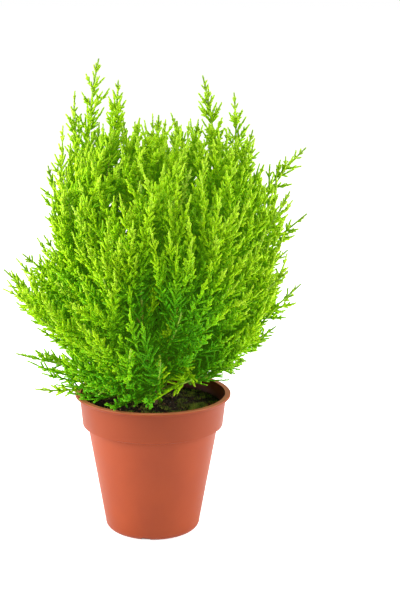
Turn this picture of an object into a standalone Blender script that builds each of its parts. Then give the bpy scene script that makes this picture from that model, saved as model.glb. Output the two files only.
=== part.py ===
# Potted lemon cypress: a young plant with soft yellow-green foliage in a round plastic nursery pot.
# Metres, +Z up. The origin is the middle of the pot's foot, and the front is towards -Y.
import math
import random

import bmesh
import bpy
import numpy as np
from mathutils import Matrix, Quaternion, Vector, noise
from mathutils.bvhtree import BVHTree

MM = 0.001
CLEARANCE = 0.3 * MM  # left between pieces that lie against each other
MERGE = 0.005 * MM

# pot
POT_HEIGHT = 109 * MM
RIM_RADIUS = 60 * MM
RIM_LIP = 3.2 * MM  # the flange stands out this far past the collar
RIM_THICKNESS = 1.8 * MM
RIM_EDGE = 0.5 * MM
COLLAR_HEIGHT = 24.5 * MM
COLLAR_DRAFT = 2.6 * MM  # the collar is this much narrower at its bottom
STEP_IN = 4.0 * MM
STEP_DROP = 1.6 * MM
FOOT_RADIUS = 36.8 * MM
FOOT_CORNER = 6.0 * MM
FOOT_CORNER_STEPS = 5
WALL = 1.1 * MM
POT_STEPS = 56
NOTCH_COUNT = 4
NOTCH_WIDTH = 7 * MM
NOTCH_HEIGHT = 2.5 * MM
NOTCH_AZIMUTH = 261  # degrees, of the notch at the front

# soil and moss
SOIL_DROP = 11 * MM  # the soil stands this far under the rim
SOIL_HEIGHT = POT_HEIGHT - SOIL_DROP
SOIL_MOUND = 2.0 * MM  # it rises this much towards the trunk
SOIL_BUMP = 0.9 * MM
SOIL_BUMP_SIZE = 16 * MM
SOIL_STEPS = 36
SOIL_RINGS = 6
MOSS_THICKNESS = 1.6 * MM
MOSS_WAVE = 0.18  # how far a cushion's edge wanders, as a share
MOSS_WAVES = 2.1
MOSS_PATCHES = {  # azimuth in degrees, distance in from the soil's edge, degrees round the trunk, width
    "moss_patch_right": (-18, 18.2 * MM, 41.4, 13 * MM),
    "moss_patch_front": (-62, 17.2 * MM, 34.1, 12 * MM),
    "moss_patch_back": (128, 20.2 * MM, 40.4, 14 * MM),
}

# trunk
TRUNK_RADIUS = 3.6 * MM
TRUNK_TIP_RADIUS = 0.9 * MM
TRUNK_HEIGHT = 124 * MM  # above the soil
TRUNK_TOP = SOIL_HEIGHT + TRUNK_HEIGHT
TRUNK_DEPTH = 32 * MM  # the length that stands in the soil
TRUNK_LEAN = 7 * MM  # sideways, at the top
TRUNK_BACK_SHARE = 0.15  # of the lean, towards the back
TRUNK_POINTS = 14

# shoots
STEM_RADIUS = 1.35 * MM
STEM_TIP_RADIUS = 0.6 * MM
STEM_FULL_LENGTH = 300 * MM  # a stem half as long as this has its full radius at its foot
STEM_STEP = 32 * MM
STEM_STEPS_FEWEST = 4
TWIG_RADIUS = 1.0 * MM
TWIG_TIP_RADIUS = 0.6 * MM
TWIG_SIDES = 4
TWIG_SPACING = 14 * MM  # from one twig's foot to the next
TWIG_LONGEST = 30 * MM
TWIG_SHORTEST = 7 * MM
TWIG_ANGLE = 40  # degrees from the stem
TWIG_ANGLE_SPREAD = 6
TWIG_LENGTH_SPREAD = (0.8, 1.1)
TWIG_TAPER = 1.3  # twigs shorten towards the stem's tip, and mostly near it when this is over 1
TWIG_SHARE = 0.9  # of the stem's radius, at the most
TWIG_TURN = math.radians(137.5)  # from one twig round the stem to the next
TWIG_LIFT = 0.15  # twigs turn up towards the light
TWIG_TRIES = 7
TWIG_TRY_TURN = 0.6  # a twig without room is tried this far round the stem, a tenth shorter each time
TWIG_CLEAR = 2.2  # past this many of the stem's corner radii a twig is free of its own stem
BARE_SHARE = 0.16  # the first part of a stem has no twigs
SHOOT_GAP = 0.4 * MM  # left between one shoot and the next
RIM_GAP = 1.2 * MM  # left beside the rim
OVER_RIM_GAP = 1.6 * MM
START_STEP = 2 * MM  # a stem without room starts higher or lower by this step
SMALL_CHANGES = {
    "steps": range(-7, 8),
    "bows": (0, 0.03, -0.03, 0.06),
    "sweeps": (0, 0.06, -0.06, 0.12, -0.12, 0.18, -0.18),
    "turns": (0, 30, -30, 60, -60, 90, -90),
}
LARGE_CHANGES = {  # tried where no small change leaves room
    "steps": range(-12, 13),
    "bows": (0, 0.03, -0.03, 0.06, -0.06, 0.1, -0.1),
    "sweeps": (0, 0.09, -0.09, 0.18, -0.18, 0.27, -0.27),
    "turns": (0, 40, -40, 80, -80, 120, -120, 160, -160),
}
WATERING_RADIUS = 13 * MM  # outside this radius nothing hangs into the space under the rim
CORNER = math.sqrt(2)  # a stem is square, and this is its corner's reach

# Each shoot: what it grows from, the height where it starts, its tip's azimuth in degrees, its tip's
# distance from the axis and its tip's height, and how far it bows outwards as a share of its length.
# Heights and distances are in mm, and heights are above the soil.
SHOOTS = {
    "leader_tall": ("trunk", 26, 166, 42, 264, 0.10),
    "leader_right": ("trunk", 29, 0, 36, 253, 0.10),
    "leader_right_far": ("trunk", 34, 17, 63, 239, 0.10),
    "leader_left": ("trunk", 24, 176, 79, 185, 0.06),
    "leader_left_back": ("trunk", 31, 148, 67, 216, 0.10),
    "leader_back": ("trunk", 36, 82, 52, 208, 0.10),
    "leader_front": ("trunk", 19, 262, 61, 181, 0.16),
    "leader_centre": ("trunk", 22, 296, 54, 170, 0.13),
    "leader_right_side": ("trunk", 28, 5, 115, 199, -0.05),
    "crown_left": ("leader_tall", 142, 225, 36, 251, 0.06),
    "crown_back_left": ("trunk", 98, 108, 47, 214, 0.06),
    "crown_middle": ("trunk", 110, 288, 12, 225, 0.04),
    "crown_back_right": ("trunk", 104, 60, 36, 216, 0.05),
    "crown_right": ("leader_right_far", 116, 341, 76, 216, 0.05),
    "crown_right_back": ("leader_right_side", 92, 28, 97, 181, 0.07),
    "crown_back": ("leader_back", 106, 76, 84, 174, 0.08),
    "right_upper_front": ("leader_right_side", 78, 343, 104, 172, 0.07),
    "right_upper": ("trunk", 52, 358, 115, 151, 0.0),
    "right_middle_back": ("trunk", 46, 20, 112, 115, 0.05),
    "right_middle_front": ("trunk", 42, 340, 105, 114, 0.05),
    "right_middle": ("trunk", 38, 3, 113, 95, 0.05),
    "right_lower_front": ("trunk", 33, 345, 95, 69, 0.05),
    "right_lower": ("trunk", 26, 10, 87, 51, 0.05),
    "right_skirt": ("trunk", 21, 333, 76, 46, 0.04),
    "left_upper_front": ("leader_left", 98, 209, 72, 188, 0.06),
    "left_upper": ("leader_left", 74, 159, 84, 147, 0.07),
    "left_middle_front": ("trunk", 60, 187, 82, 135, 0.08),
    "left_middle": ("trunk", 48, 169, 102, 115, 0.05),
    "left_far": ("trunk", 41, 188, 112, 110, 0.06),
    "left_lower_back": ("trunk", 36, 172, 106, 78, 0.06),
    "left_lower_front": ("trunk", 31, 208, 95, 81, 0.05),
    "left_lower": ("trunk", 26, 186, 104, 44, 0.02),
    "left_skirt_back": ("trunk", 22, 160, 87, 30, -0.03),
    "left_skirt": ("trunk", 18, 200, 64, 18, -0.08),
    "front_upper_left": ("leader_front", 80, 253, 68, 153, 0.08),
    "front_upper_right": ("leader_centre", 66, 290, 80, 128, 0.10),
    "front_right_upper": ("trunk", 57, 308, 77, 141, 0.10),
    "front_right": ("trunk", 44, 312, 81, 106, 0.10),
    "front_centre": ("trunk", 33, 285, 78, 92, 0.12),
    "front_left_upper": ("trunk", 50, 245, 83, 116, 0.10),
    "front_left": ("trunk", 38, 237, 84, 78, 0.08),
    "front_lower_left": ("trunk", 29, 260, 90, 68, 0.10),
    "front_lower": ("trunk", 23, 274, 75, 55, 0.08),
    "front_skirt_right": ("trunk", 17, 296, 64, 37, 0.0),
    "front_skirt": ("trunk", 14, 268, 50, 17, -0.14),
    "front_skirt_left": ("trunk", 16, 230, 62, 23, -0.10),
    "back_upper_left": ("trunk", 62, 132, 96, 148, 0.09),
    "back_upper_right": ("trunk", 58, 47, 100, 142, 0.09),
    "back_middle": ("trunk", 52, 92, 106, 128, 0.10),
    "back_left": ("trunk", 43, 118, 104, 98, 0.09),
    "back_right": ("trunk", 40, 66, 106, 94, 0.09),
    "back_lower_left": ("trunk", 32, 138, 92, 52, 0.05),
    "back_lower": ("trunk", 27, 100, 96, 56, 0.06),
    "back_lower_right": ("trunk", 24, 55, 94, 50, 0.05),
}
SHOOT_COLOURS = {  # by the first word of the name
    "leader": (0.36, 0.56, 0.02, 1),
    "crown": (0.40, 0.60, 0.03, 1),
    "right": (0.30, 0.50, 0.02, 1),
    "left": (0.32, 0.52, 0.02, 1),
    "front": (0.38, 0.62, 0.01, 1),
    "back": (0.24, 0.42, 0.02, 1),
}


def clear_scene():
    for obj in list(bpy.data.objects):
        bpy.data.objects.remove(obj, do_unlink=True)


def new_collection(name):
    collection = bpy.data.collections.new(name)
    bpy.context.scene.collection.children.link(collection)
    return collection


def material(name, colour, roughness):
    made = bpy.data.materials.new(name)
    made.use_nodes = True
    shader = made.node_tree.nodes["Principled BSDF"]
    shader.inputs["Base Color"].default_value = colour
    shader.inputs["Roughness"].default_value = roughness
    shader.inputs["Metallic"].default_value = 0.0
    return made


def add_object(name, data, collection, finish=None):
    obj = bpy.data.objects.new(name, data)
    collection.objects.link(obj)
    if finish:
        data.materials.append(finish)
    return obj


def around(azimuth, radius, height):
    turn = math.radians(azimuth)
    return Vector((radius * math.cos(turn), radius * math.sin(turn), height))


# ---- pot ----


def wall_line():
    """The outside of the pot's wall in section, from the rim down to the middle of the foot."""
    collar_top = RIM_RADIUS - RIM_LIP
    collar_bottom = collar_top - COLLAR_DRAFT
    step_height = POT_HEIGHT - COLLAR_HEIGHT
    line = [
        (collar_top, POT_HEIGHT),
        (collar_bottom, step_height),
        (collar_bottom - STEP_IN, step_height - STEP_DROP),
    ]
    for i in range(FOOT_CORNER_STEPS + 1):
        turn = math.radians(90 * i / FOOT_CORNER_STEPS)
        line.append(
            (
                FOOT_RADIUS - FOOT_CORNER + FOOT_CORNER * math.cos(turn),
                FOOT_CORNER - FOOT_CORNER * math.sin(turn),
            )
        )
    line.append((0, 0))
    return line


def inset_line(line, distance):
    """The line moved inwards by a distance, square to each of its stretches."""
    moved = []
    for i, (r, z) in enumerate(line):
        normals = []
        for a, b in ((i - 1, i), (i, i + 1)):
            if a < 0 or b >= len(line):
                continue
            run = Vector((line[b][0] - line[a][0], line[b][1] - line[a][1])).normalized()
            normals.append(Vector((run.y, -run.x)))
        mitre = sum(normals, Vector((0, 0))).normalized()
        shift = mitre * (distance / mitre.dot(normals[0]))
        moved.append((r + shift.x, z + shift.y))
    moved[0] = (moved[0][0], line[0][1])
    moved[-1] = (0, moved[-1][1])
    return moved


def radius_at(line, height):
    """The radius of a section line at a height, on its way down from the rim."""
    for (r0, z0), (r1, z1) in zip(line, line[1:]):
        if z1 <= height <= z0:
            return r0 + (r1 - r0) * (z0 - height) / max(z0 - z1, 1e-9)
    return line[0][0]


def turned(name, section, steps, collection, finish):
    """A body turned from a section line that starts and ends on the axis."""
    mesh = bpy.data.meshes.new(name)
    mesh.from_pydata([(r, 0, z) for r, z in section], [(i, i + 1) for i in range(len(section) - 1)], [])
    obj = add_object(name, mesh, collection, finish)
    screw = obj.modifiers.new("Turn", "SCREW")
    screw.axis = "Z"
    screw.angle = 2 * math.pi
    screw.steps = steps
    screw.render_steps = steps
    screw.use_merge_vertices = True
    screw.merge_threshold = MERGE
    screw.use_smooth_shade = True
    return obj


def make_pot(collection, cutters):
    outside = wall_line()
    inside = inset_line(outside, WALL)
    under_flange = POT_HEIGHT - RIM_THICKNESS
    flange = [
        (RIM_RADIUS - RIM_EDGE, POT_HEIGHT),
        (RIM_RADIUS, POT_HEIGHT - RIM_EDGE),
        (RIM_RADIUS, under_flange + RIM_EDGE),
        (RIM_RADIUS - RIM_EDGE, under_flange),
        (radius_at(outside, under_flange), under_flange),
    ]
    section = inside[::-1] + flange + outside[1:]
    pot = turned("pot", section, POT_STEPS, collection, material("pot", (0.60, 0.16, 0.07, 1), 0.45))
    for i in range(NOTCH_COUNT):
        cut_notch(pot, i, cutters)
    return pot


def cut_notch(pot, index, cutters):
    """A drainage notch through the rounded bottom edge."""
    length = 2 * FOOT_CORNER
    bm = bmesh.new()
    bmesh.ops.create_cube(bm, size=1)
    bmesh.ops.scale(bm, vec=(length, NOTCH_WIDTH, 2 * NOTCH_HEIGHT), verts=bm.verts)
    mesh = bpy.data.meshes.new("notch")
    bm.to_mesh(mesh)
    bm.free()
    cutter = add_object(f"notch_cutter_{index + 1}", mesh, cutters)
    turn = NOTCH_AZIMUTH + index * 360 / NOTCH_COUNT
    cutter.location = around(turn, FOOT_RADIUS - FOOT_CORNER + length / 2, 0)
    cutter.rotation_euler.z = math.radians(turn)
    cutter.display_type = "WIRE"
    cutter.hide_render = True
    cut = pot.modifiers.new(f"Notch {index + 1}", "BOOLEAN")
    cut.operation = "DIFFERENCE"
    cut.solver = "EXACT"
    cut.object = cutter


# ---- soil, moss and trunk ----


def trunk_centre(height):
    share = max(0.0, (height - SOIL_HEIGHT) / TRUNK_HEIGHT)
    lean = TRUNK_LEAN * share * share * (3 - 2 * min(share, 1))
    return Vector((lean, TRUNK_BACK_SHARE * TRUNK_LEAN * share, height))


def trunk_radius(height):
    share = min(max(0.0, (height - SOIL_HEIGHT) / TRUNK_HEIGHT), 1.0)
    return TRUNK_RADIUS + (TRUNK_TIP_RADIUS - TRUNK_RADIUS) * share


def make_root_ball(collection):
    """The soil fills the pot, with a hole for the trunk and an uneven top."""
    side = inset_line(wall_line(), WALL + CLEARANCE)
    top = SOIL_HEIGHT
    hole = TRUNK_RADIUS + CLEARANCE
    edge = radius_at(side, top)
    rings = [hole + (edge - hole) * i / (SOIL_RINGS - 1) for i in range(SOIL_RINGS)]
    section = [(0, top - TRUNK_DEPTH - CLEARANCE), (hole, top - TRUNK_DEPTH - CLEARANCE)]
    section += [(r, top) for r in rings]
    section += [(r, z) for r, z in side if z < top]
    bm = bmesh.new()
    verts = [bm.verts.new((r, 0, z)) for r, z in section]
    edges = [bm.edges.new(pair) for pair in zip(verts, verts[1:])]
    full = {"cent": (0, 0, 0), "axis": (0, 0, 1), "angle": 2 * math.pi, "use_merge": True}
    bmesh.ops.spin(bm, geom=verts + edges, steps=SOIL_STEPS, **full)
    bmesh.ops.remove_doubles(bm, verts=bm.verts, dist=MERGE)
    bmesh.ops.recalc_face_normals(bm, faces=bm.faces)
    for v in bm.verts:
        r = math.hypot(v.co.x, v.co.y)
        if abs(v.co.z - top) < MERGE and r < edge - MERGE:
            share = 1 - r / edge
            bump = noise.noise(v.co / SOIL_BUMP_SIZE) * SOIL_BUMP
            v.co.z += SOIL_MOUND * share + bump * min(1.0, 4 * share)
    mesh = bpy.data.meshes.new("root_ball")
    bm.to_mesh(mesh)
    tree = BVHTree.FromBMesh(bm)
    bm.free()
    mesh.shade_smooth()
    add_object("root_ball", mesh, collection, material("soil", (0.018, 0.013, 0.008, 1), 0.95))
    return tree, edge


def make_moss(name, azimuth, distance, span, width, soil, collection, finish):
    """A flat cushion that follows the soil under it."""
    length = distance * math.radians(span)
    bm = bmesh.new()
    bmesh.ops.create_uvsphere(bm, u_segments=16, v_segments=6, radius=1)
    middle = around(azimuth, distance, 0)
    along = around(azimuth - 90, 1, 0)
    out = around(azimuth, 1, 0)
    for v in bm.verts:
        wave = 1 + MOSS_WAVE * noise.noise(Vector((MOSS_WAVES * v.co.x, MOSS_WAVES * v.co.y, azimuth)))
        place = middle + along * (v.co.x * wave * length / 2) + out * (v.co.y * wave * width / 2)
        ground = soil.ray_cast(Vector((place.x, place.y, POT_HEIGHT)), Vector((0, 0, -1)))[0]
        lift = 2 * CLEARANCE + MOSS_THICKNESS * (v.co.z + 1) / 2
        v.co = Vector((place.x, place.y, ground.z + lift))
    mesh = bpy.data.meshes.new(name)
    bm.to_mesh(mesh)
    bm.free()
    mesh.shade_smooth()
    add_object(name, mesh, collection, finish)


def make_trunk(collection):
    curve = bpy.data.curves.new("trunk", "CURVE")
    curve.dimensions = "3D"
    curve.bevel_depth = 1.0
    curve.bevel_resolution = 2
    curve.use_fill_caps = True
    foot = SOIL_HEIGHT - TRUNK_DEPTH
    spline = curve.splines.new("POLY")
    spline.points.add(TRUNK_POINTS - 1)
    for i, point in enumerate(spline.points):
        height = foot + (TRUNK_TOP - foot) * i / (TRUNK_POINTS - 1)
        point.co = (*trunk_centre(height), 1)
        point.radius = trunk_radius(height)
    add_object("trunk", curve, collection, material("bark", (0.13, 0.06, 0.025, 1), 0.85))


# ---- shoots ----


class Space:
    """The thin round stretches placed so far, which the next ones keep clear of."""

    def __init__(self):
        self.starts = np.zeros((0, 3))
        self.ends = np.zeros((0, 3))
        self.radii = np.zeros(0)

    def add(self, points, radii):
        self.starts = np.vstack([self.starts, [tuple(p) for p in points[:-1]]])
        self.ends = np.vstack([self.ends, [tuple(p) for p in points[1:]]])
        self.radii = np.append(self.radii, radii[:-1])

    def is_clear(self, points, radii, gap, but=()):
        keep = np.ones(len(self.radii), bool)
        keep[list(but)] = False
        if not keep.any():
            return True
        starts, ends, others = self.starts[keep], self.ends[keep], self.radii[keep]
        for a, b, radius in zip(points, points[1:], radii):
            near = distances(np.array(a), np.array(b), starts, ends)
            if (near < others + radius + gap).any():
                return False
        return True


def distances(a, b, starts, ends):
    """The distance from the stretch a-b to each of many others."""
    along = b - a
    others = ends - starts
    apart = a - starts
    length = along @ along
    lengths = (others * others).sum(1)
    mixed = others @ along
    f = (others * apart).sum(1)
    c = apart @ along
    rest = np.maximum(length * lengths - mixed * mixed, 1e-18)
    s = np.clip((mixed * f - c * lengths) / rest, 0, 1)
    t = np.clip((mixed * s + f) / lengths, 0, 1)
    s = np.clip((mixed * t - c) / length, 0, 1)
    return np.linalg.norm(a + s[:, None] * along - starts - t[:, None] * others, axis=1)


def clears_pot(points, radius):
    """True if the stretches stay off the soil, the rim and the watering space."""
    for a, b in zip(points, points[1:]):
        for i in range(6):
            p = a.lerp(b, i / 5)
            out = math.hypot(p.x, p.y)
            if p.z - radius > POT_HEIGHT + OVER_RIM_GAP:
                continue
            outside = out - radius > RIM_RADIUS + RIM_GAP
            over_soil = p.z - radius > SOIL_HEIGHT + SOIL_MOUND + SOIL_BUMP + SHOOT_GAP
            if not outside and not (over_soil and out < WATERING_RADIUS):
                return False
    return True


def blend(a, b, share):
    return a + (b - a) * share


def stem_line(start, tip, bow, sweep):
    """A smooth line from start to tip, bowed outwards and down, and swept a little sideways."""
    chord = tip - start
    side = chord.cross(Vector((0, 0, 1)))
    side = side.normalized() if side.length > 1e-6 else Vector((1, 0, 0))
    outwards = side.cross(chord).normalized()
    if outwards.z > 0:
        outwards.negate()
    middle = start.lerp(tip, 0.5) + outwards * (2 * bow * chord.length) + side * (sweep * chord.length)
    steps = max(STEM_STEPS_FEWEST, round(chord.length / STEM_STEP))
    line = []
    for i in range(steps + 1):
        t = i / steps
        line.append(start * (1 - t) ** 2 + middle * (2 * t * (1 - t)) + tip * t * t)
    return line


def point_at_height(line, radii, height):
    for i, (a, b) in enumerate(zip(line, line[1:])):
        if a.z <= height <= b.z:
            share = (height - a.z) / (b.z - a.z)
            return a.lerp(b, share), blend(radii[i], radii[i + 1], share)
    return line[-1], radii[-1]


def stem_changes(ranges):
    """Changes to a stem, the smallest first: start height, bow, sideways sweep and start azimuth."""
    found = []
    for step in ranges["steps"]:
        for bow in ranges["bows"]:
            for sweep in ranges["sweeps"]:
                for turn in ranges["turns"]:
                    cost = abs(step) + abs(bow) * 20 + abs(sweep) * 15 + abs(turn) / 30
                    found.append((cost, START_STEP * step, bow, sweep, turn))
    return sorted(found)


def place_stem(parent, height, azimuth, reach, tip_height, bow, changes, lines, space):
    """A stem from its parent's surface to its tip, changed a little until it is clear of the others."""
    tip = around(azimuth, reach * MM, SOIL_HEIGHT + tip_height * MM)
    for _, lift, more_bow, sweep, turn in changes:
        start_height = SOIL_HEIGHT + height * MM + lift
        if parent == "trunk":
            centre = trunk_centre(start_height)
            thick = trunk_radius(start_height)
        else:
            centre, thick = point_at_height(*lines[parent], start_height)
            thick = thick * CORNER
        length = (tip - centre).length
        radius = STEM_RADIUS * min(1.0, 0.5 + length / STEM_FULL_LENGTH)
        out = Vector((tip.x - centre.x, tip.y - centre.y, 0)).normalized()
        out.rotate(Quaternion((0, 0, 1), math.radians(turn)))
        start = centre + out * (thick + CORNER * radius + 2 * SHOOT_GAP)
        line = stem_line(start, tip, bow + more_bow, sweep)
        radii = [blend(radius, STEM_TIP_RADIUS, i / (len(line) - 1)) for i in range(len(line))]
        reaches = [CORNER * r for r in radii]
        if space.is_clear(line, reaches, SHOOT_GAP) and clears_pot(line, CORNER * radius):
            return line, radii
    raise ValueError(f"no room for a stem from {parent} to azimuth {azimuth}")


def line_at(line, share):
    """The point at a share of the line, and the direction there."""
    i = min(int(share * (len(line) - 1)), len(line) - 2)
    here = line[i].lerp(line[i + 1], share * (len(line) - 1) - i)
    return here, (line[i + 1] - line[i]).normalized(), i


def find_twigs(line, radii, rng, space, own):
    """Twigs along a stem, each on another side than the last, where there is room."""
    found = []
    turn = rng.uniform(0, math.pi)
    length = sum((b - a).length for a, b in zip(line, line[1:]))
    count = round(length * (1 - BARE_SHARE) / TWIG_SPACING)
    for k in range(count):
        share = BARE_SHARE + (1 - BARE_SHARE) * (k + 0.5) / count
        foot, along, i = line_at(line, share)
        turn += TWIG_TURN
        across = along.orthogonal().normalized()
        longest = blend(TWIG_LONGEST, TWIG_SHORTEST, share**TWIG_TAPER)
        longest *= rng.uniform(*TWIG_LENGTH_SPREAD)
        angle = math.radians(rng.uniform(TWIG_ANGLE - TWIG_ANGLE_SPREAD, TWIG_ANGLE + TWIG_ANGLE_SPREAD))
        stem = blend(radii[0], radii[-1], share)
        thick = min(TWIG_RADIUS, stem * TWIG_SHARE)
        own_parts = (own + max(i - 1, 0), own + i, own + min(i + 1, len(line) - 2))
        for attempt in range(TWIG_TRIES):
            outwards = across.copy()
            outwards.rotate(Quaternion(along, turn + attempt * TWIG_TRY_TURN * (-1, 1)[attempt % 2]))
            way = along * math.cos(angle) + outwards * math.sin(angle) + Vector((0, 0, TWIG_LIFT))
            way.normalize()
            end = foot + way * longest * (1 - 0.1 * attempt)
            free = [foot + way * (TWIG_CLEAR * CORNER * stem), end]
            if space.is_clear(free, [thick], SHOOT_GAP, own_parts) and clears_pot(free, thick):
                found.append((foot, end, thick))
                space.add(free, [thick, thick])
                break
    return found


def make_shoot(name, line, radii, twigs, collection, cutters, finish):
    """A skin over the stem, joined with its twigs into one closed body."""
    bm = bmesh.new()
    stem = [bm.verts.new(p) for p in line]
    for pair in zip(stem, stem[1:]):
        bm.edges.new(pair)
    mesh = bpy.data.meshes.new(name)
    bm.to_mesh(mesh)
    bm.free()
    shoot = add_object(name, mesh, collection, finish)
    skin = shoot.modifiers.new("Skin", "SKIN")
    skin.use_smooth_shade = True
    for i, vertex in enumerate(mesh.skin_vertices[0].data):
        vertex.radius = (radii[i], radii[i])
        vertex.use_root = i == 0
    bm = bmesh.new()
    for foot, end, thick in twigs:
        way = end - foot
        place = Matrix.Translation(foot.lerp(end, 0.5)) @ way.to_track_quat("Z", "Y").to_matrix().to_4x4()
        size = {"radius1": thick, "radius2": TWIG_TIP_RADIUS, "depth": way.length}
        bmesh.ops.create_cone(bm, cap_ends=True, segments=TWIG_SIDES, matrix=place, **size)
    mesh = bpy.data.meshes.new(f"{name}_twigs")
    bm.to_mesh(mesh)
    bm.free()
    joined = add_object(f"{name}_twigs", mesh, cutters)
    joined.display_type = "WIRE"
    joined.hide_render = True
    union = shoot.modifiers.new("Twigs", "BOOLEAN")
    union.operation = "UNION"
    union.solver = "EXACT"
    union.object = joined


def make_shoots(collection, cutters):
    space = Space()
    trunk = [trunk_centre(blend(SOIL_HEIGHT, TRUNK_TOP, i / 10)) for i in range(11)]
    space.add(trunk, [trunk_radius(p.z) for p in trunk])
    changes = stem_changes(SMALL_CHANGES) + stem_changes(LARGE_CHANGES)
    lines = {}
    first = {}
    for name, shoot in SHOOTS.items():
        line, radii = place_stem(*shoot, changes, lines, space)
        lines[name] = (line, radii)
        first[name] = len(space.radii)
        space.add(line, [CORNER * r for r in radii])
    finishes = {}
    for word, colour in SHOOT_COLOURS.items():
        finishes[word] = material(f"foliage_{word}", colour, 0.55)
    count = 0
    for index, (name, (line, radii)) in enumerate(lines.items()):
        rng = random.Random(1000 + index)
        twigs = find_twigs(line, radii, rng, space, first[name])
        count += len(twigs)
        finish = finishes[name.split("_")[0]]
        make_shoot(name, line, radii, twigs, collection, cutters, finish)
    print(f"{len(lines)} shoots with {count} twigs")


def main():
    clear_scene()
    parts = new_collection("potted_lemon_cypress")
    cutters = new_collection("cutters")
    make_pot(parts, cutters)
    soil, soil_edge = make_root_ball(parts)
    moss = material("moss", (0.06, 0.075, 0.015, 1), 0.95)
    for name, (azimuth, inset, span, width) in MOSS_PATCHES.items():
        make_moss(name, azimuth, soil_edge - inset, span, width, soil, parts, moss)
    make_trunk(parts)
    make_shoots(parts, cutters)


main()
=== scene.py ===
import math
import random
from itertools import product

import bmesh
import bpy
import numpy as np
from mathutils import Matrix, Quaternion, Vector, noise


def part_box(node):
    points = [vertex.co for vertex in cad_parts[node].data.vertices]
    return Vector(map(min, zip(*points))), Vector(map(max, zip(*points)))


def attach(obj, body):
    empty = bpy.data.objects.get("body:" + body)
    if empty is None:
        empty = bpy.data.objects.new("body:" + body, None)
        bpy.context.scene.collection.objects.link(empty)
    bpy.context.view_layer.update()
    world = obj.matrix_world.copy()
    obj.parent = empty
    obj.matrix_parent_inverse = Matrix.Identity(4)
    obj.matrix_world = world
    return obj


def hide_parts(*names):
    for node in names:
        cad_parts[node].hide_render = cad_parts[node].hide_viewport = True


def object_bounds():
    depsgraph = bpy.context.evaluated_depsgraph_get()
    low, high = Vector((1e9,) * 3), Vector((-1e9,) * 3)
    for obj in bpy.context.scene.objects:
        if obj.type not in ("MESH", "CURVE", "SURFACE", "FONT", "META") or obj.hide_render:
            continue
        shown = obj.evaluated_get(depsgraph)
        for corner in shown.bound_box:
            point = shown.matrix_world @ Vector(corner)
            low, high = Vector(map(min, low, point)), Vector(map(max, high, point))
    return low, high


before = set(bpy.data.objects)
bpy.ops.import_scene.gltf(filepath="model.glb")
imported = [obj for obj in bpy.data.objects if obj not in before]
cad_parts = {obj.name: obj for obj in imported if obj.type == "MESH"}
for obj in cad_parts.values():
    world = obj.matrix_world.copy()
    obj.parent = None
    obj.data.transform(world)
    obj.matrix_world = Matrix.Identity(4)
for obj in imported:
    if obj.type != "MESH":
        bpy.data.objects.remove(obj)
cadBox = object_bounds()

mm = 0.001
up = Vector((0, 0, 1))


# colours, nodes and pieces

def srgb(code):
    values = [int(code[i:i + 2], 16) / 255 for i in (1, 3, 5)]
    linear = [v / 12.92 if v <= 0.04045 else ((v + 0.055) / 1.055) ** 2.4 for v in values]
    return (*linear, 1)


def addNode(tree, kind, settings=None, values=None, links=None, stops=()):
    # links: input name or number -> an output socket; stops: place and colour or grey, along a colour ramp
    node = tree.nodes.new("ShaderNode" + kind)
    for key, value in (settings or {}).items():
        setattr(node, key, value)
    for key, value in (values or {}).items():
        node.inputs[key].default_value = value
    for key, socket in (links or {}).items():
        tree.links.new(socket, node.inputs[key])
    for i, (place, colour) in enumerate(stops):
        marks = node.color_ramp.elements
        mark = marks[i] if i < 2 else marks.new(place)
        mark.position = place
        mark.color = srgb(colour) if isinstance(colour, str) else (colour, colour, colour, 1)
    return node


def startMaterial(name, settings):
    # settings: what is the same all over the surface
    material = bpy.data.materials.new(name)
    material.use_nodes = True
    tree = material.node_tree
    shader = tree.nodes["Principled BSDF"]
    for key, value in settings.items():
        shader.inputs[key].default_value = value
    return material, tree, shader


def mappedMaterial(name, stops, tones, settings):
    # for pieces made of many small copies: the first axis of their colour map runs along the stops, and the
    # second from the darker to the lighter tone
    material, tree, shader = startMaterial(name, settings)
    uv = addNode(tree, "UVMap", {"uv_map": "OFBake"}).outputs[0]
    axes = addNode(tree, "SeparateXYZ", links={0: uv}).outputs
    colour = addNode(tree, "ValToRGB", links={0: axes[0]}, stops=stops).outputs[0]
    tone = addNode(tree, "MapRange", values={3: tones[0], 4: tones[1]}, links={0: axes[1]}).outputs[0]
    tinted = addNode(tree, "HueSaturation", links={"Value": tone, "Color": colour})
    tree.links.new(tinted.outputs[0], shader.inputs["Base Color"])
    return material, tree, tinted, axes


def addNoise(tree, place, scale, detail):
    values = {"Scale": scale, "Detail": detail}
    return addNode(tree, "TexNoise", values=values, links={"Vector": place}).outputs[0]


def addBump(tree, shader, height, strength, depth):
    values = {"Strength": strength, "Distance": depth * mm}
    bump = addNode(tree, "Bump", values=values, links={"Height": height})
    tree.links.new(bump.outputs[0], shader.inputs["Normal"])


def addObject(name, data):
    made = bpy.data.objects.new(name, data)
    bpy.context.scene.collection.objects.link(made)
    return made


def addPiece(name, mesh, material, replaced=()):
    piece = addObject(name, mesh)
    mesh.materials.clear()
    mesh.materials.append(material)
    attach(piece, "root")
    if replaced:
        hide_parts(*replaced)


def meshFrom(bm, name, smooth=None):
    mesh = bpy.data.meshes.new(name)
    bm.to_mesh(mesh)
    bm.free()
    if smooth is not None:
        mesh.shade_smooth()
        mesh.set_sharp_from_angle(angle=math.radians(smooth))
    return mesh


def around(azimuth, radius, height):
    turn = math.radians(azimuth)
    return Vector((radius * math.cos(turn), radius * math.sin(turn), height))


def mix(a, b, share):
    return a + (b - a) * share


# camera first

cameraSet = {
    "place": (0.0, -1.10, 0.4367),
    "aim": (0.0356, 0.0, 0.1816),
    "lens": 89.0,  # mm, on a 36 mm frame
    "roll": 0.55,  # degrees
}


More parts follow.
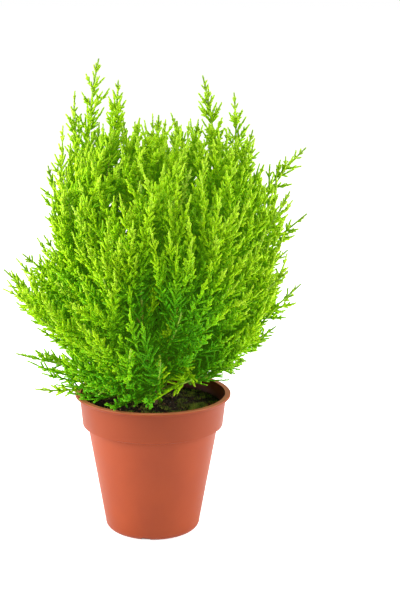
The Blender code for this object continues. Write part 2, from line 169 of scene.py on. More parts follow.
def makeCamera():
    camera = addObject("camera", bpy.data.cameras.new("camera"))
    place, aim = Vector(cameraSet["place"]), Vector(cameraSet["aim"])
    turn = (aim - place).to_track_quat("-Z", "Y") @ Quaternion((0, 0, 1), math.radians(cameraSet["roll"]))
    camera.location = place
    camera.rotation_euler = turn.to_euler()
    camera.data.lens = cameraSet["lens"]
    camera.data.sensor_width = 36
    bpy.context.scene.camera = camera


makeCamera()
print("camera set")


# pot: polypropylene, injection moulded

potSet = {
    "height": 109.0, "rim": 60.0, "lip": 3.2, "flange": 1.8, "flangeEdge": 0.5,
    "collar": 24.5, "collarDraft": 2.6, "stepIn": 4.0, "stepDrop": 1.6,
    "foot": 36.8, "footCorner": 6.0, "wall": 1.1,
    "notches": 4, "notchWidth": 7.0, "notchHeight": 2.5, "notchAzimuth": 261,
    "notchCorner": 0.08,  # share of its size
    "steps": 160, "cornerSteps": 8, "smooth": 35,
    # how much of each tint there is at a share of the height: painted shade that deepens the collar, a soil
    # film with painted shade inside it, and a painted highlight on the lip
    "tints": {
        # painted shade: the collar deepens in colour towards the rim
        "#7A2C00": [(0.74, 0.0), (0.8, 0.35), (1.0, 0.5)],
        # soil film and painted shade on the inner wall, darkest just above the soil
        "#1E120A": [(0.875, 0.0), (0.89, 0.9), (0.93, 0.5), (0.975, 0.0)],
        # painted highlight: a paler lip along the rim's top
        "#E08A62": [(0.9955, 0.0), (0.9985, 0.5)],
    },
    "soilFilmAndShadeTint": "#1E120A",
}
soilDrop = 11.0
soilMound = 2.0
soilBump = 0.9
soilBumpSize = 16.0
clearance = 0.3


def wallLine(p):
    collarTop = p["rim"] - p["lip"]
    collarBottom = collarTop - p["collarDraft"]
    step = p["height"] - p["collar"]
    line = [(collarTop, p["height"]), (collarBottom, step)]
    line.append((collarBottom - p["stepIn"], step - p["stepDrop"]))
    for i in range(p["cornerSteps"] + 1):
        turn = math.radians(90 * i / p["cornerSteps"])
        centre = p["foot"] - p["footCorner"]
        line.append((centre + p["footCorner"] * math.cos(turn), p["footCorner"] * (1 - math.sin(turn))))
    line.append((0, 0))
    return line


def insetLine(line, distance):
    moved = []
    for i, (r, z) in enumerate(line):
        normals = []
        for a, b in ((i - 1, i), (i, i + 1)):
            if a >= 0 and b < len(line):
                run = Vector((line[b][0] - line[a][0], line[b][1] - line[a][1])).normalized()
                normals.append(Vector((run.y, -run.x)))
        mitre = sum(normals, Vector((0, 0))).normalized()
        shift = mitre * (distance / mitre.dot(normals[0]))
        moved.append((r + shift.x, z + shift.y))
    moved[0] = (moved[0][0], line[0][1])
    moved[-1] = (0, moved[-1][1])
    return moved


def radiusAt(line, height):
    for (r0, z0), (r1, z1) in zip(line, line[1:]):
        if z1 <= height <= z0:
            return r0 + (r1 - r0) * (z0 - height) / max(z0 - z1, 1e-9)
    return line[0][0]


def spun(section, steps):
    # section: radius and height in mm, from the axis round to the axis
    bm = bmesh.new()
    verts = [bm.verts.new((r * mm, 0, z * mm)) for r, z in section]
    edges = [bm.edges.new(pair) for pair in zip(verts, verts[1:])]
    full = {"cent": (0, 0, 0), "axis": (0, 0, 1), "angle": 2 * math.pi, "use_merge": True}
    bmesh.ops.spin(bm, geom=verts + edges, steps=steps, **full)
    bmesh.ops.remove_doubles(bm, verts=bm.verts, dist=0.005 * mm)
    bmesh.ops.recalc_face_normals(bm, faces=bm.faces)
    return bm


def mouldedPolypropylene():
    # terracotta-coloured polypropylene with a fine spark texture and a broad soft sheen, with painted light
    # in its colour:
    # a painted highlight on the lip, painted shade on the collar, and a film of soil with painted shade
    # inside the collar
    p = potSet
    sheen = {"IOR": 1.49, "Specular IOR Level": 0.28}
    material, tree, shader = startMaterial("moulded terracotta polypropylene", sheen)
    place = addNode(tree, "TexCoord").outputs["Object"]
    cloud = addNoise(tree, place, scale=38.0, detail=4.0)
    mottled = addNode(tree, "ValToRGB", links={0: cloud}, stops=[(0.3, "#923A15"), (0.7, "#9A4019")])
    axes = addNode(tree, "SeparateXYZ", links={0: place}).outputs
    flat = addNode(tree, "CombineXYZ", links={0: axes[0], 1: axes[1]}).outputs[0]
    out = addNode(tree, "VectorMath", {"operation": "LENGTH"}, links={0: flat}).outputs["Value"]
    # inside: nearer to the axis than the middle of the collar's wall
    slope = p["collarDraft"] / p["collar"]
    face = {1: slope, 2: (p["rim"] - p["lip"] - slope * p["height"] - p["wall"] / 2) * mm}
    middle = addNode(tree, "Math", {"operation": "MULTIPLY_ADD"}, values=face, links={0: axes[2]}).outputs[0]
    inside = addNode(tree, "Math", {"operation": "LESS_THAN"}, links={0: out, 1: middle}).outputs[0]
    # the rest goes by the share of the pot's height
    whole = {1: p["height"] * mm}
    share = addNode(tree, "Math", {"operation": "DIVIDE"}, values=whole, links={0: axes[2]}).outputs[0]
    colour = mottled.outputs[0]
    for tint, stops in p["tints"].items():
        amount = addNode(tree, "ValToRGB", links={0: share}, stops=stops).outputs[0]
        # the soil film and painted shade go only on the inside
        if tint == p["soilFilmAndShadeTint"]:
            amount = addNode(tree, "Math", {"operation": "MULTIPLY"}, links={0: inside, 1: amount}).outputs[0]
        links = {0: amount, 6: colour}
        colour = addNode(tree, "Mix", {"data_type": "RGBA"}, values={7: srgb(tint)}, links=links).outputs[2]
    tree.links.new(colour, shader.inputs["Base Color"])
    grain = addNoise(tree, place, scale=2600.0, detail=2.0)
    addBump(tree, shader, grain, strength=0.15, depth=0.1)
    rough = addNode(tree, "ValToRGB", links={0: cloud}, stops=[(0.3, 0.40), (0.75, 0.52)])
    tree.links.new(rough.outputs[0], shader.inputs["Roughness"])
    return material


def notched(mesh):
    # drainage notches cut through the rounded bottom edge
    p = potSet
    pot = addObject("uncut", mesh)
    cutters = []
    for i in range(p["notches"]):
        turn = p["notchAzimuth"] + i * 360 / p["notches"]
        bm = bmesh.new()
        bmesh.ops.create_cube(bm, size=1)
        lengthwise = [e for e in bm.edges if abs(e.verts[0].co.x - e.verts[1].co.x) > 0.5]
        bmesh.ops.bevel(bm, geom=lengthwise, offset=p["notchCorner"], segments=3, profile=0.5, affect="EDGES")
        size = Vector((2 * p["footCorner"], p["notchWidth"], 2 * p["notchHeight"])) * mm
        bmesh.ops.scale(bm, vec=size, verts=bm.verts)
        bmesh.ops.rotate(bm, matrix=Matrix.Rotation(math.radians(turn), 3, "Z"), verts=bm.verts)
        bmesh.ops.translate(bm, vec=around(turn, p["foot"] * mm, 0), verts=bm.verts)
        cutter = addObject("notch", meshFrom(bm, "notch"))
        cut = pot.modifiers.new("notch", "BOOLEAN")
        cut.operation, cut.solver, cut.object = "DIFFERENCE", "EXACT", cutter
        cutters.append(cutter)
    bpy.context.view_layer.update()
    seen = pot.evaluated_get(bpy.context.evaluated_depsgraph_get())
    made = bpy.data.meshes.new_from_object(seen)
    made.name = mesh.name
    for scratch in [pot] + cutters:
        bpy.data.objects.remove(scratch)
    return made


def makePot():
    p = potSet
    outside = wallLine(p)
    inside = insetLine(outside, p["wall"])
    under = p["height"] - p["flange"]
    edge = p["flangeEdge"]
    flange = [
        (p["rim"] - edge, p["height"]), (p["rim"], p["height"] - edge), (p["rim"], under + edge),
        (p["rim"] - edge, under), (radiusAt(outside, under), under),
    ]
    bm = spun(inside[::-1] + flange + outside[1:], p["steps"])
    mesh = notched(meshFrom(bm, "nursery_pot"))
    mesh.shade_smooth()
    mesh.set_sharp_from_angle(angle=math.radians(p["smooth"]))
    addPiece("nursery_pot", mesh, mouldedPolypropylene(), ["pot"])


makePot()
print("pot made")


# where the stems and twigs run: the same growth as the solids in the frame

growSet = {
    # radii and lengths in mm
    "trunkRadius": 3.6, "trunkTip": 0.9, "trunkHeight": 124.0, "trunkDepth": 32.0, "trunkLean": 7.0,
    "trunkBack": 0.15, "trunkSteps": 10,
    "stem": 1.35, "stemTip": 0.6, "stemStep": 32.0, "fewestSteps": 4, "thinnest": 0.5, "fullLength": 300.0,
    "twig": 1.0, "twigShare": 0.9, "twigSpacing": 14.0, "longest": 30.0, "shortest": 7.0, "shorten": 1.3,
    "lengths": (0.8, 1.1), "angle": 40, "angleSpread": 6, "turn": math.radians(137.5), "lift": 0.15,
    "tries": 7, "tryTurn": 0.6, "tryShorter": 0.1, "clearFoot": 2.2,
    "bare": 0.16,  # share of a stem without twigs
    "gap": 0.4, "overRim": 4, "besideRim": 3,  # the last two in gaps
    "watering": 13.0,  # stems come out of the pot within this distance of the axis
    "seed": 1000,
}
changeSet = {  # what a stem tries to find room: lifts in steps, bows and sweeps in shares, turns in degrees
    "lifts": range(-7, 8), "liftStep": 2, "bows": (0, 0.03, -0.03, 0.06), "bowCost": 20,
    "sweeps": (0, 0.06, -0.06, 0.12, -0.12, 0.18, -0.18), "sweepCost": 15,
    "turns": (0, 30, -30, 60, -60, 90, -90), "turnStep": 30,
}
corner = math.sqrt(2)
# what each shoot grows from, its start height, its tip's azimuth, distance from the axis and height, and its
# bow; heights are above the soil
shootSet = {
    "leader_tall": ("trunk", 26, 166, 42, 264, 0.10),
    "leader_right": ("trunk", 29, 0, 36, 253, 0.10),
    "leader_right_far": ("trunk", 34, 17, 63, 239, 0.10),
    "leader_left": ("trunk", 24, 176, 79, 185, 0.06),
    "leader_left_back": ("trunk", 31, 148, 67, 216, 0.10),
    "leader_back": ("trunk", 36, 82, 52, 208, 0.10),
    "leader_front": ("trunk", 19, 262, 61, 181, 0.16),
    "leader_centre": ("trunk", 22, 296, 54, 170, 0.13),
    "leader_right_side": ("trunk", 28, 5, 115, 199, -0.05),
    "crown_left": ("leader_tall", 142, 225, 36, 251, 0.06),
    "crown_back_left": ("trunk", 98, 108, 47, 214, 0.06),
    "crown_middle": ("trunk", 110, 288, 12, 225, 0.04),
    "crown_back_right": ("trunk", 104, 60, 36, 216, 0.05),
    "crown_right": ("leader_right_far", 116, 341, 76, 216, 0.05),
    "crown_right_back": ("leader_right_side", 92, 28, 97, 181, 0.07),
    "crown_back": ("leader_back", 106, 76, 84, 174, 0.08),
    "right_upper_front": ("leader_right_side", 78, 343, 104, 172, 0.07),
    "right_upper": ("trunk", 52, 358, 115, 151, 0.0),
    "right_middle_back": ("trunk", 46, 20, 112, 115, 0.05),
    "right_middle_front": ("trunk", 42, 340, 105, 114, 0.05),
    "right_middle": ("trunk", 38, 3, 113, 95, 0.05),
    "right_lower_front": ("trunk", 33, 345, 95, 69, 0.05),
    "right_lower": ("trunk", 26, 10, 87, 51, 0.05),
    "right_skirt": ("trunk", 21, 333, 76, 46, 0.04),
    "left_upper_front": ("leader_left", 98, 209, 72, 188, 0.06),
    "left_upper": ("leader_left", 74, 159, 84, 147, 0.07),
    "left_middle_front": ("trunk", 60, 187, 82, 135, 0.08),
    "left_middle": ("trunk", 48, 169, 102, 115, 0.05),
    "left_far": ("trunk", 41, 188, 112, 110, 0.06),
    "left_lower_back": ("trunk", 36, 172, 106, 78, 0.06),
    "left_lower_front": ("trunk", 31, 208, 95, 81, 0.05),
    "left_lower": ("trunk", 26, 186, 104, 44, 0.02),
    "left_skirt_back": ("trunk", 22, 160, 87, 30, -0.03),
    "left_skirt": ("trunk", 18, 200, 64, 18, -0.08),
    "front_upper_left": ("leader_front", 80, 253, 68, 153, 0.08),
    "front_upper_right": ("leader_centre", 66, 290, 80, 128, 0.10),
    "front_right_upper": ("trunk", 57, 308, 77, 141, 0.10),
    "front_right": ("trunk", 44, 312, 81, 106, 0.10),
    "front_centre": ("trunk", 33, 285, 78, 92, 0.12),
    "front_left_upper": ("trunk", 50, 245, 83, 116, 0.10),
    "front_left": ("trunk", 38, 237, 84, 78, 0.08),
    "front_lower_left": ("trunk", 29, 260, 90, 68, 0.10),
    "front_lower": ("trunk", 23, 274, 75, 55, 0.08),
    "front_skirt_right": ("trunk", 17, 296, 64, 37, 0.0),
    "front_skirt": ("trunk", 14, 268, 50, 17, -0.14),
    "front_skirt_left": ("trunk", 16, 230, 62, 23, -0.10),
    "back_upper_left": ("trunk", 62, 132, 96, 148, 0.09),
    "back_upper_right": ("trunk", 58, 47, 100, 142, 0.09),
    "back_middle": ("trunk", 52, 92, 106, 128, 0.10),
    "back_left": ("trunk", 43, 118, 104, 98, 0.09),
    "back_right": ("trunk", 40, 66, 106, 94, 0.09),
    "back_lower_left": ("trunk", 32, 138, 92, 52, 0.05),
    "back_lower": ("trunk", 27, 100, 96, 56, 0.06),
    "back_lower_right": ("trunk", 24, 55, 94, 50, 0.05),
}
soilHeight = (potSet["height"] - soilDrop) * mm


def trunkCentre(height):
    share = max(0.0, (height - soilHeight) / (growSet["trunkHeight"] * mm))
    lean = growSet["trunkLean"] * mm
    sideways = lean * share * share * (3 - 2 * min(share, 1))
    return Vector((sideways, growSet["trunkBack"] * lean * share, height))


def trunkRadius(height):
    share = min(max(0.0, (height - soilHeight) / (growSet["trunkHeight"] * mm)), 1.0)
    return mix(growSet["trunkRadius"], growSet["trunkTip"], share) * mm


class Space:
    # what has grown so far, as rods from start to end
    def __init__(self):
        self.starts = np.zeros((0, 3))
        self.ends = np.zeros((0, 3))
        self.radii = np.zeros(0)

    def add(self, points, radii):
        self.starts = np.vstack([self.starts, [tuple(p) for p in points[:-1]]])
        self.ends = np.vstack([self.ends, [tuple(p) for p in points[1:]]])
        self.radii = np.append(self.radii, radii[:-1])

    def isClear(self, points, radii, gap, but=()):
        keep = np.ones(len(self.radii), bool)
        keep[list(but)] = False
        if not keep.any():
            return True
        starts, ends, others = self.starts[keep], self.ends[keep], self.radii[keep]
        for a, b, radius in zip(points, points[1:], radii):
            near = distances(np.array(a), np.array(b), starts, ends)
            if (near < others + radius + gap).any():
                return False
        return True


def distances(a, b, starts, ends):
    # the shortest distance from the rod between a and b to each of the others
    along = b - a
    others = ends - starts
    apart = a - starts
    length = along @ along
    lengths = (others * others).sum(1)
    mixed = others @ along
    f = (others * apart).sum(1)
    c = apart @ along
    rest = np.maximum(length * lengths - mixed * mixed, 1e-18)
    s = np.clip((mixed * f - c * lengths) / rest, 0, 1)
    t = np.clip((mixed * s + f) / lengths, 0, 1)
    s = np.clip((mixed * t - c) / length, 0, 1)
    return np.linalg.norm(a + s[:, None] * along - starts - t[:, None] * others, axis=1)


def clearsPot(points, radius):
    gap = growSet["gap"] * mm
    for a, b in zip(points, points[1:]):
        for share in (0, 0.2, 0.4, 0.6, 0.8, 1):
            p = a.lerp(b, share)
            out = math.hypot(p.x, p.y)
            if p.z - radius > potSet["height"] * mm + gap * growSet["overRim"]:
                continue
            outside = out - radius > potSet["rim"] * mm + gap * growSet["besideRim"]
            overSoil = p.z - radius > soilHeight + (soilMound + soilBump) * mm + gap
            if not outside and not (overSoil and out < growSet["watering"] * mm):
                return False
    return True


def bowPoints(start, tip, bow, sweep):
    chord = tip - start
    side = chord.cross(up)
    side = side.normalized() if side.length > 1e-6 else Vector((1, 0, 0))
    outwards = side.cross(chord).normalized()
    if outwards.z > 0:
        outwards.negate()
    # the handle of the curve lies twice as far out as its middle
    middle = start.lerp(tip, 0.5) + outwards * (2 * bow * chord.length) + side * (sweep * chord.length)
    return start, middle, tip


def onBow(points, t):
    start, middle, tip = points
    return start * (1 - t) ** 2 + middle * (2 * t * (1 - t)) + tip * t * t


def pointAtHeight(line, radii, height):
    for i, (a, b) in enumerate(zip(line, line[1:])):
        if a.z <= height <= b.z:
            share = (height - a.z) / (b.z - a.z)
            return a.lerp(b, share), mix(radii[i], radii[i + 1], share)
    return line[-1], radii[-1]


def stemChanges():
    # the smallest changes first
    c = changeSet
    found = []
    for lift, bow, sweep, turn in product(c["lifts"], c["bows"], c["sweeps"], c["turns"]):
        cost = abs(lift) + abs(bow) * c["bowCost"] + abs(sweep) * c["sweepCost"] + abs(turn) / c["turnStep"]
        found.append((cost, c["liftStep"] * mm * lift, bow, sweep, turn))
    return sorted(found)


def placeStem(parent, height, azimuth, reach, tipHeight, bow, changes, lines, space):
    g = growSet
    tip = around(azimuth, reach * mm, soilHeight + tipHeight * mm)
    for _, lift, moreBow, sweep, turn in changes:
        startHeight = soilHeight + height * mm + lift
        if parent == "trunk":
            centre = trunkCentre(startHeight)
            thick = trunkRadius(startHeight)
        else:
            centre, thick = pointAtHeight(lines[parent][0], lines[parent][1], startHeight)
            thick = thick * corner
        length = (tip - centre).length
        radius = g["stem"] * mm * min(1.0, g["thinnest"] + length / (g["fullLength"] * mm))
        out = Vector((tip.x - centre.x, tip.y - centre.y, 0)).normalized()
        out.rotate(Quaternion(up, math.radians(turn)))
        start = centre + out * (thick + corner * radius + 2 * g["gap"] * mm)
        points = bowPoints(start, tip, bow + moreBow, sweep)
        steps = max(g["fewestSteps"], round((tip - start).length / (g["stemStep"] * mm)))
        line = [onBow(points, i / steps) for i in range(steps + 1)]
        radii = [mix(radius, g["stemTip"] * mm, i / (len(line) - 1)) for i in range(len(line))]
        reaches = [corner * r for r in radii]
        if space.isClear(line, reaches, g["gap"] * mm) and clearsPot(line, corner * radius):
            return line, radii, points, centre
    raise ValueError(f"no room for a stem from {parent} to azimuth {azimuth}")


def lineAt(line, share):
    i = min(int(share * (len(line) - 1)), len(line) - 2)
    here = line[i].lerp(line[i + 1], share * (len(line) - 1) - i)
    return here, (line[i + 1] - line[i]).normalized(), i


def findTwigs(line, radii, rng, space, own):
    g = growSet
    found = []
    turn = rng.uniform(0, math.pi)
    length = sum((b - a).length for a, b in zip(line, line[1:]))
    count = round(length * (1 - g["bare"]) / (g["twigSpacing"] * mm))
    for k in range(count):
        share = g["bare"] + (1 - g["bare"]) * (k + 0.5) / count
        foot, along, i = lineAt(line, share)
        turn += g["turn"]
        across = along.orthogonal().normalized()
        longest = mix(g["longest"] * mm, g["shortest"] * mm, share ** g["shorten"])
        longest *= rng.uniform(*g["lengths"])
        angle = math.radians(rng.uniform(g["angle"] - g["angleSpread"], g["angle"] + g["angleSpread"]))
        stem = mix(radii[0], radii[-1], share)
        thick = min(g["twig"] * mm, stem * g["twigShare"])
        ownParts = (own + max(i - 1, 0), own + i, own + min(i + 1, len(line) - 2))
        for attempt in range(g["tries"]):
            outwards = across.copy()
            side = 1 if attempt % 2 else -1
            outwards.rotate(Quaternion(along, turn + side * attempt * g["tryTurn"]))
            way = along * math.cos(angle) + outwards * math.sin(angle) + Vector((0, 0, g["lift"]))
            way.normalize()
            end = foot + way * longest * (1 - g["tryShorter"] * attempt)
            free = [foot + way * (g["clearFoot"] * corner * stem), end]
            if space.isClear(free, [thick], g["gap"] * mm, ownParts) and clearsPot(free, thick):
                found.append((share, end - foot))
                space.add(free, [thick, thick])
                break
    return found


def growAll():
    space = Space()
    steps = growSet["trunkSteps"]
    trunk = [trunkCentre(soilHeight + growSet["trunkHeight"] * mm * i / steps) for i in range(steps + 1)]
    space.add(trunk, [trunkRadius(p.z) for p in trunk])
    changes = stemChanges()
    lines = {}
    first = {}
    for name, shoot in shootSet.items():
        lines[name] = placeStem(*shoot, changes, lines, space)
        first[name] = len(space.radii)
        space.add(lines[name][0], [corner * r for r in lines[name][1]])
    grown = {}
    for index, (name, (line, radii, points, centre)) in enumerate(lines.items()):
        twigs = findTwigs(line, radii, random.Random(growSet["seed"] + index), space, first[name])
        grown[name] = (points, centre, radii, twigs)
    return grown


grown = growAll()
for name, (points, *rest) in grown.items():
    off = max(points[2] - Vector(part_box(name)[1]))
    if off > 1 * mm:
        print("tip of", name, "stands out by", round(off / mm, 1), "mm")
print("growth worked out")


# foliage: shoots on shoots, and scale leaves in crossed pairs on all of them

leafSet = {  # lengths in mm, angles in degrees
    "length": 2.1, "width": 1.3, "thick": 0.75, "sizes": (0.85, 1.12),
    "tilt": 27, "tiltSpread": 5, "spinSpread": 0.15,
    "spacing": 2.2, "innerSpacing": 4.6, "fullFrom": 1.8,  # leaves stand close in half the light or more
    "tipLength": 1.5, "tipTilt": 0.35, "tipSize": 0.12,  # at a tip they close up and get smaller
}
# where pieces lie on the colour map: wood low, green above it; in full shade green keeps a third of its span
markSet = {"wood": 0.02, "woodSpan": 0.24, "green": 0.3, "twigSpan": 0.66, "leafSpan": 0.68, "shade": 0.33,
           "young": 0.02, "tint": 0.06}
# how loosely side shoots grow, and how far one stretch of a shoot runs into the next
looseSet = {"place": (0.2, 0.8), "spin": 0.25, "size": (0.65, 1.05), "angle": 5, "way": 0.05, "taper": 0.15,
            "overlap": 1.02}
levelSet = {  # lengths in mm: spacing, longest, shortest, bare tip of the parent, radius; angles in degrees
    "spray": {"spacing": 5.4, "longest": 22, "shortest": 2.8, "share": 0.62, "bareTip": 5.0, "angle": 40,
              "lift": 0.14, "bend": 0.06, "pieces": 3, "radius": 0.95, "fresh": 0.75, "tint": 0.07},
    "sprig": {"spacing": 4.4, "longest": 13.5, "shortest": 2.4, "share": 0.36, "bareTip": 4.5, "angle": 38,
              "lift": 0.2, "bend": 0, "pieces": 1, "radius": 1.0, "fresh": 0.7, "tint": 0.05},
    "twig": {"spacing": 4.0, "longest": 7.5, "shortest": 2.0, "share": 0.45, "bareTip": 3.4, "angle": 40,
             "lift": 0.12, "bend": 0, "pieces": 1, "radius": 0.95, "fresh": 0.6, "tint": 0.04},
}
crownSet = {
    # height above the foot, and how far the foliage reaches there to the left and to the right, in mm
    "outline": [
        (110, 62, 48), (118, 80, 58), (128, 88, 66), (142, 82, 74), (158, 78, 84), (172, 98, 94),
        (186, 110, 98), (200, 112, 102), (212, 84, 102), (230, 84, 102), (255, 80, 102), (280, 76, 92),
        (300, 64, 76), (314, 46, 52), (324, 10, 12),
    ],
    "spires": [  # azimuth in degrees, distance from the axis and height of tips that stand out
        (168, 60, 338), (184, 67, 314), (195, 72, 282), (176, 88, 228), (182, 103, 214), (178, 114, 189),
        (186, 93, 168), (174, 86, 136), (110, 20, 316), (20, 17, 312), (345, 27, 318), (8, 55, 311),
        (354, 75, 306), (4, 100, 284), (355, 104, 260), (6, 104, 205), (340, 68, 131), (203, 95, 122),
        (110, 34, 292), (150, 26, 287), (70, 42, 284), (200, 22, 276), (125, 20, 272), (40, 30, 290),
        (95, 8, 322), (60, 18, 317), (150, 12, 319), (141, 32, 277), (223, 37, 288), (116, 50, 272),
        (25, 45, 275), (200, 34, 291), (219, 34, 265), (196, 30, 262), (50, 15, 301), (20, 35, 270),
    ],
    # scattered tips: share of the outline, spacing in mm
    "shells": {"outer": ((0.84, 1.0), 12.5), "inner": ((0.1, 0.8), 17.5)},
    "hollow": {"x": (-6, 28), "z": (146, 232), "share": 0.62},  # open at the front, down to older wood
    "skirt": {"azimuth": (190, 272), "reach": (44, 64), "z": (111.5, 120), "spacing": 15.0},
    "sparse": {"z": (116, 140), "gaps": (0.5, 0.15)},  # share of side shoots left out, which is more low down
    # foliage gets the light from out[0] to out[1] of the outline and near the top, and less low down
    "out": (0.35, 0.9), "top": (205, 290), "low": (112, 190), "lowShare": 0.45, "most": 0.88,
    # middle, size in mm and share of light left: the older shaded wood that shows at the front
    "hollows": [((14, -45, 162), (34, 56, 60), 0.08), ((-12, -48, 114), (62, 40, 17), 0.12)],
    "hollowFrom": 0.5, "hollowDepth": 0.4,
    # lit plumes at the front: azimuth, distance from the axis and height of their tips
    "plumes": [
        (259, 51, 280), (301, 52, 287), (276, 62, 243), (250, 69, 233), (293, 68, 228), (284, 72, 192),
        (255, 64, 158), (274, 67, 156), (248, 71, 201), (318, 70, 240), (222, 78, 262), (233, 82, 178),
        (322, 86, 196), (304, 80, 172), (212, 84, 205),
    ],
    "lowTips": [(188, 96, 137), (193, 86, 129), (199, 77, 122), (205, 71, 117), (183, 80, 140)],
    "gap": (-97, 155, 16, 8),  # x, z, half width and half height of a place left open
    # the soil is open to view right of x and in front of y, up to a height that falls to the back
    "soilView": {"x": 8, "y": 10, "z": 114, "slope": 0.42},
    # drooping sprays: start, tip, bow and sweep
    "droops": [
        ((4, -3, 119), (-2, -50, 115.5), -0.3, -1.1), ((0, -6, 122), (-33, -42, 122), -0.25, 0.25),
        ((5, -4, 124), (16, -46, 125), -0.3, -0.7),
    ],
    "tries": 9000, "seed": 77,
}
lateralSet = {
    # the length and the angle that a lateral would best have, how much a miss counts, and its lowest rise
    "length": 74.0, "lengthMiss": 30, "angle": 26.0, "angleMiss": 16, "rise": 0.3, "riseMiss": 5,
    # places for feet along a stem, and the length that must be left to its tip
    "marks": 40, "first": 2, "last": 33, "shortest": 24, "ahead": 0.02,
    "crowded": 0.7, "near": 6,  # what a foot near by costs, within so many mm
    "bow": 0.05, "bows": (-0.03, 0.04), "sweep": 0.06, "pieces": 8, "radii": (0.75, 0.8), "age": (0.12, 0.82),
    "innerAge": 0.6, "droopPieces": 12, "droopAge": (0.5, 0.72),
    "tint": 0.48, "litTint": 0.72, "tintSpread": 0.1, "droopTint": 0.6, "seed": 78,
}
airGap = 0.8  # mm, kept over the pot's rim
trunkRoom = 4  # mm, kept over the soil at the trunk
boxMargin = 3.5  # mm, that soft tips may stand outside the frame's box


def unit(v):
    return v / np.maximum(np.linalg.norm(v, axis=-1, keepdims=True), 1e-12)


def crossFrame(alongs, spins):
    helper = np.where(np.abs(alongs[:, 2:3]) < 0.9, np.array([[0.0, 0, 1]]), np.array([[1.0, 0, 0]]))
    a = unit(np.cross(alongs, helper))
    b = np.cross(alongs, a)
    c, s = np.cos(spins)[:, None], np.sin(spins)[:, None]
    return a * c + b * s, b * c - a * s


def pick(axes, keep):
    return {key: values[keep] for key, values in axes.items()}


def join(groups):
    return {key: np.concatenate([g[key] for g in groups]) for key in groups[0]}


def hasRoom(start, end, lit=0.0):
    # true where a twig stays off the soil, the rim and the wall, and inside the frame's box;
    # the right half of the soil is left open to view, but for the lit sprays over it
    fine = np.ones(len(start), bool)
    low, high = np.array(cadBox[0]) - boxMargin * mm, np.array(cadBox[1]) + boxMargin * mm
    view = crownSet["soilView"]
    x, z, wide, tall = crownSet["gap"]
    for share in (0.0, 0.5, 1.0):
        p = start + (end - start) * share
        out = np.hypot(p[:, 0], p[:, 1])
        above = p[:, 2] > (potSet["height"] + airGap) * mm
        inside = (out < growSet["watering"] * mm) & (p[:, 2] > soilHeight + trunkRoom * mm)
        outside = out > (potSet["rim"] + airGap) * mm
        soilView = (p[:, 0] > view["x"] * mm) & (p[:, 1] < view["y"] * mm)
        soilView &= p[:, 2] < view["z"] * mm - view["slope"] * p[:, 1]
        fine &= (above | inside | outside) & ~(soilView & ~inside & (lit < 0.5))
        fine &= ((p[:, 0] / mm - x) / wide) ** 2 + ((p[:, 2] / mm - z) / tall) ** 2 > 1
        if share:
            fine &= ((p > low) & (p < high)).all(axis=1)
    return fine


def sideShoots(axes, rule, rng):
    # opposite pairs of shoots on every stretch, each pair turned a quarter from the one below
    run = axes["end"] - axes["start"]
    length = np.linalg.norm(run, axis=1)
    counts = np.floor(length / (rule["spacing"] * mm) + rng.random(len(length))).astype(int)
    own = np.repeat(np.arange(len(counts)), counts)
    k = np.arange(len(own)) - np.repeat(np.cumsum(counts) - counts, counts)
    share = (k + rng.uniform(*looseSet["place"], len(own))) / np.maximum(counts[own], 1)
    spin = axes["spin"][own] + k * math.pi / 2 + rng.normal(0, looseSet["spin"], len(own))
    own, share, spin = np.tile(own, 2), np.tile(share, 2), np.concatenate([spin, spin + math.pi])
    left = axes["left"][own] - share * length[own]
    low = crownSet["sparse"]
    footHeight = (axes["start"][own, 2] + run[own, 2] * share) / mm
    gaps = np.interp(footHeight, low["z"], low["gaps"])
    keep = (left > rule["bareTip"] * mm) & (rng.random(len(own)) > gaps)
    own, share, spin, left = own[keep], share[keep], spin[keep], left[keep]
    size = rule["shortest"] * mm + rule["share"] * (left - rule["bareTip"] * mm)
    size = np.minimum(rule["longest"] * mm, size) * rng.uniform(*looseSet["size"], len(own))
    along = unit(run)[own]
    outs, _ = crossFrame(along, spin)
    angle = np.radians(rule["angle"] + rng.normal(0, looseSet["angle"], len(own)))[:, None]
    way = unit(along * np.cos(angle) + outs * np.sin(angle) + np.array([0, 0, rule["lift"]]))
    foot = axes["start"][own] + run[own] * share[:, None]
    base = axes["young"][own, 0] + (axes["young"][own, 1] - axes["young"][own, 0]) * share
    tip = base + (1 - base) * rule["fresh"]
    tint = axes["tint"][own] + rng.normal(0, rule["tint"], len(own))
    fine = np.ones(len(own), bool)
    segments = []
    for i in range(rule["pieces"]):
        near, far = i / rule["pieces"], (i + 1) / rule["pieces"]
        end = foot + way * (size / rule["pieces"])[:, None]
        fine &= hasRoom(foot, end, axes["lit"][own])
        segments.append({
            "start": foot, "end": end, "left": size * (1 - near), "tint": tint,
            "young": np.stack([base + (tip - base) * near, base + (tip - base) * far], 1),
            "thick": np.full(len(own), rule["radius"] * (1 - looseSet["taper"] * near) * mm),
            "lit": axes["lit"][own], "spin": rng.uniform(0, math.pi, len(own)),
        })
        foot = end
        way = unit(way + np.array([0, 0, rule["bend"]]) + rng.normal(0, looseSet["way"], way.shape))
    return join([pick(s, fine) for s in segments])


def lineAxes(points, thick, young, tint, rng, lit=0.0):
    # straight stretches from point to point; thick and young are given for both ends; lit: as if outermost
    start, end = np.array([tuple(p) for p in points[:-1]]), np.array([tuple(p) for p in points[1:]])
    lengths = np.linalg.norm(end - start, axis=1)
    left = np.cumsum(lengths[::-1])[::-1]
    share = 1 - left / left[0]
    after = np.append(share[1:], 1.0)
    return {
        "start": start, "end": end, "left": left, "tint": np.full(len(start), tint),
        "young": np.stack([mix(*young, share), mix(*young, after)], 1),
        "thick": mix(*thick, share) * mm, "spin": rng.uniform(0, math.pi, len(start)),
        "lit": np.full(len(start), lit),
    }


def shapeArrays(bm):
    bmesh.ops.triangulate(bm, faces=bm.faces)
    bmesh.ops.recalc_face_normals(bm, faces=bm.faces)
    bm.verts.index_update()
    verts = np.array([v.co[:] for v in bm.verts])
    faces = np.array([[v.index for v in f.verts] for f in bm.faces])
    bm.free()
    return verts, faces


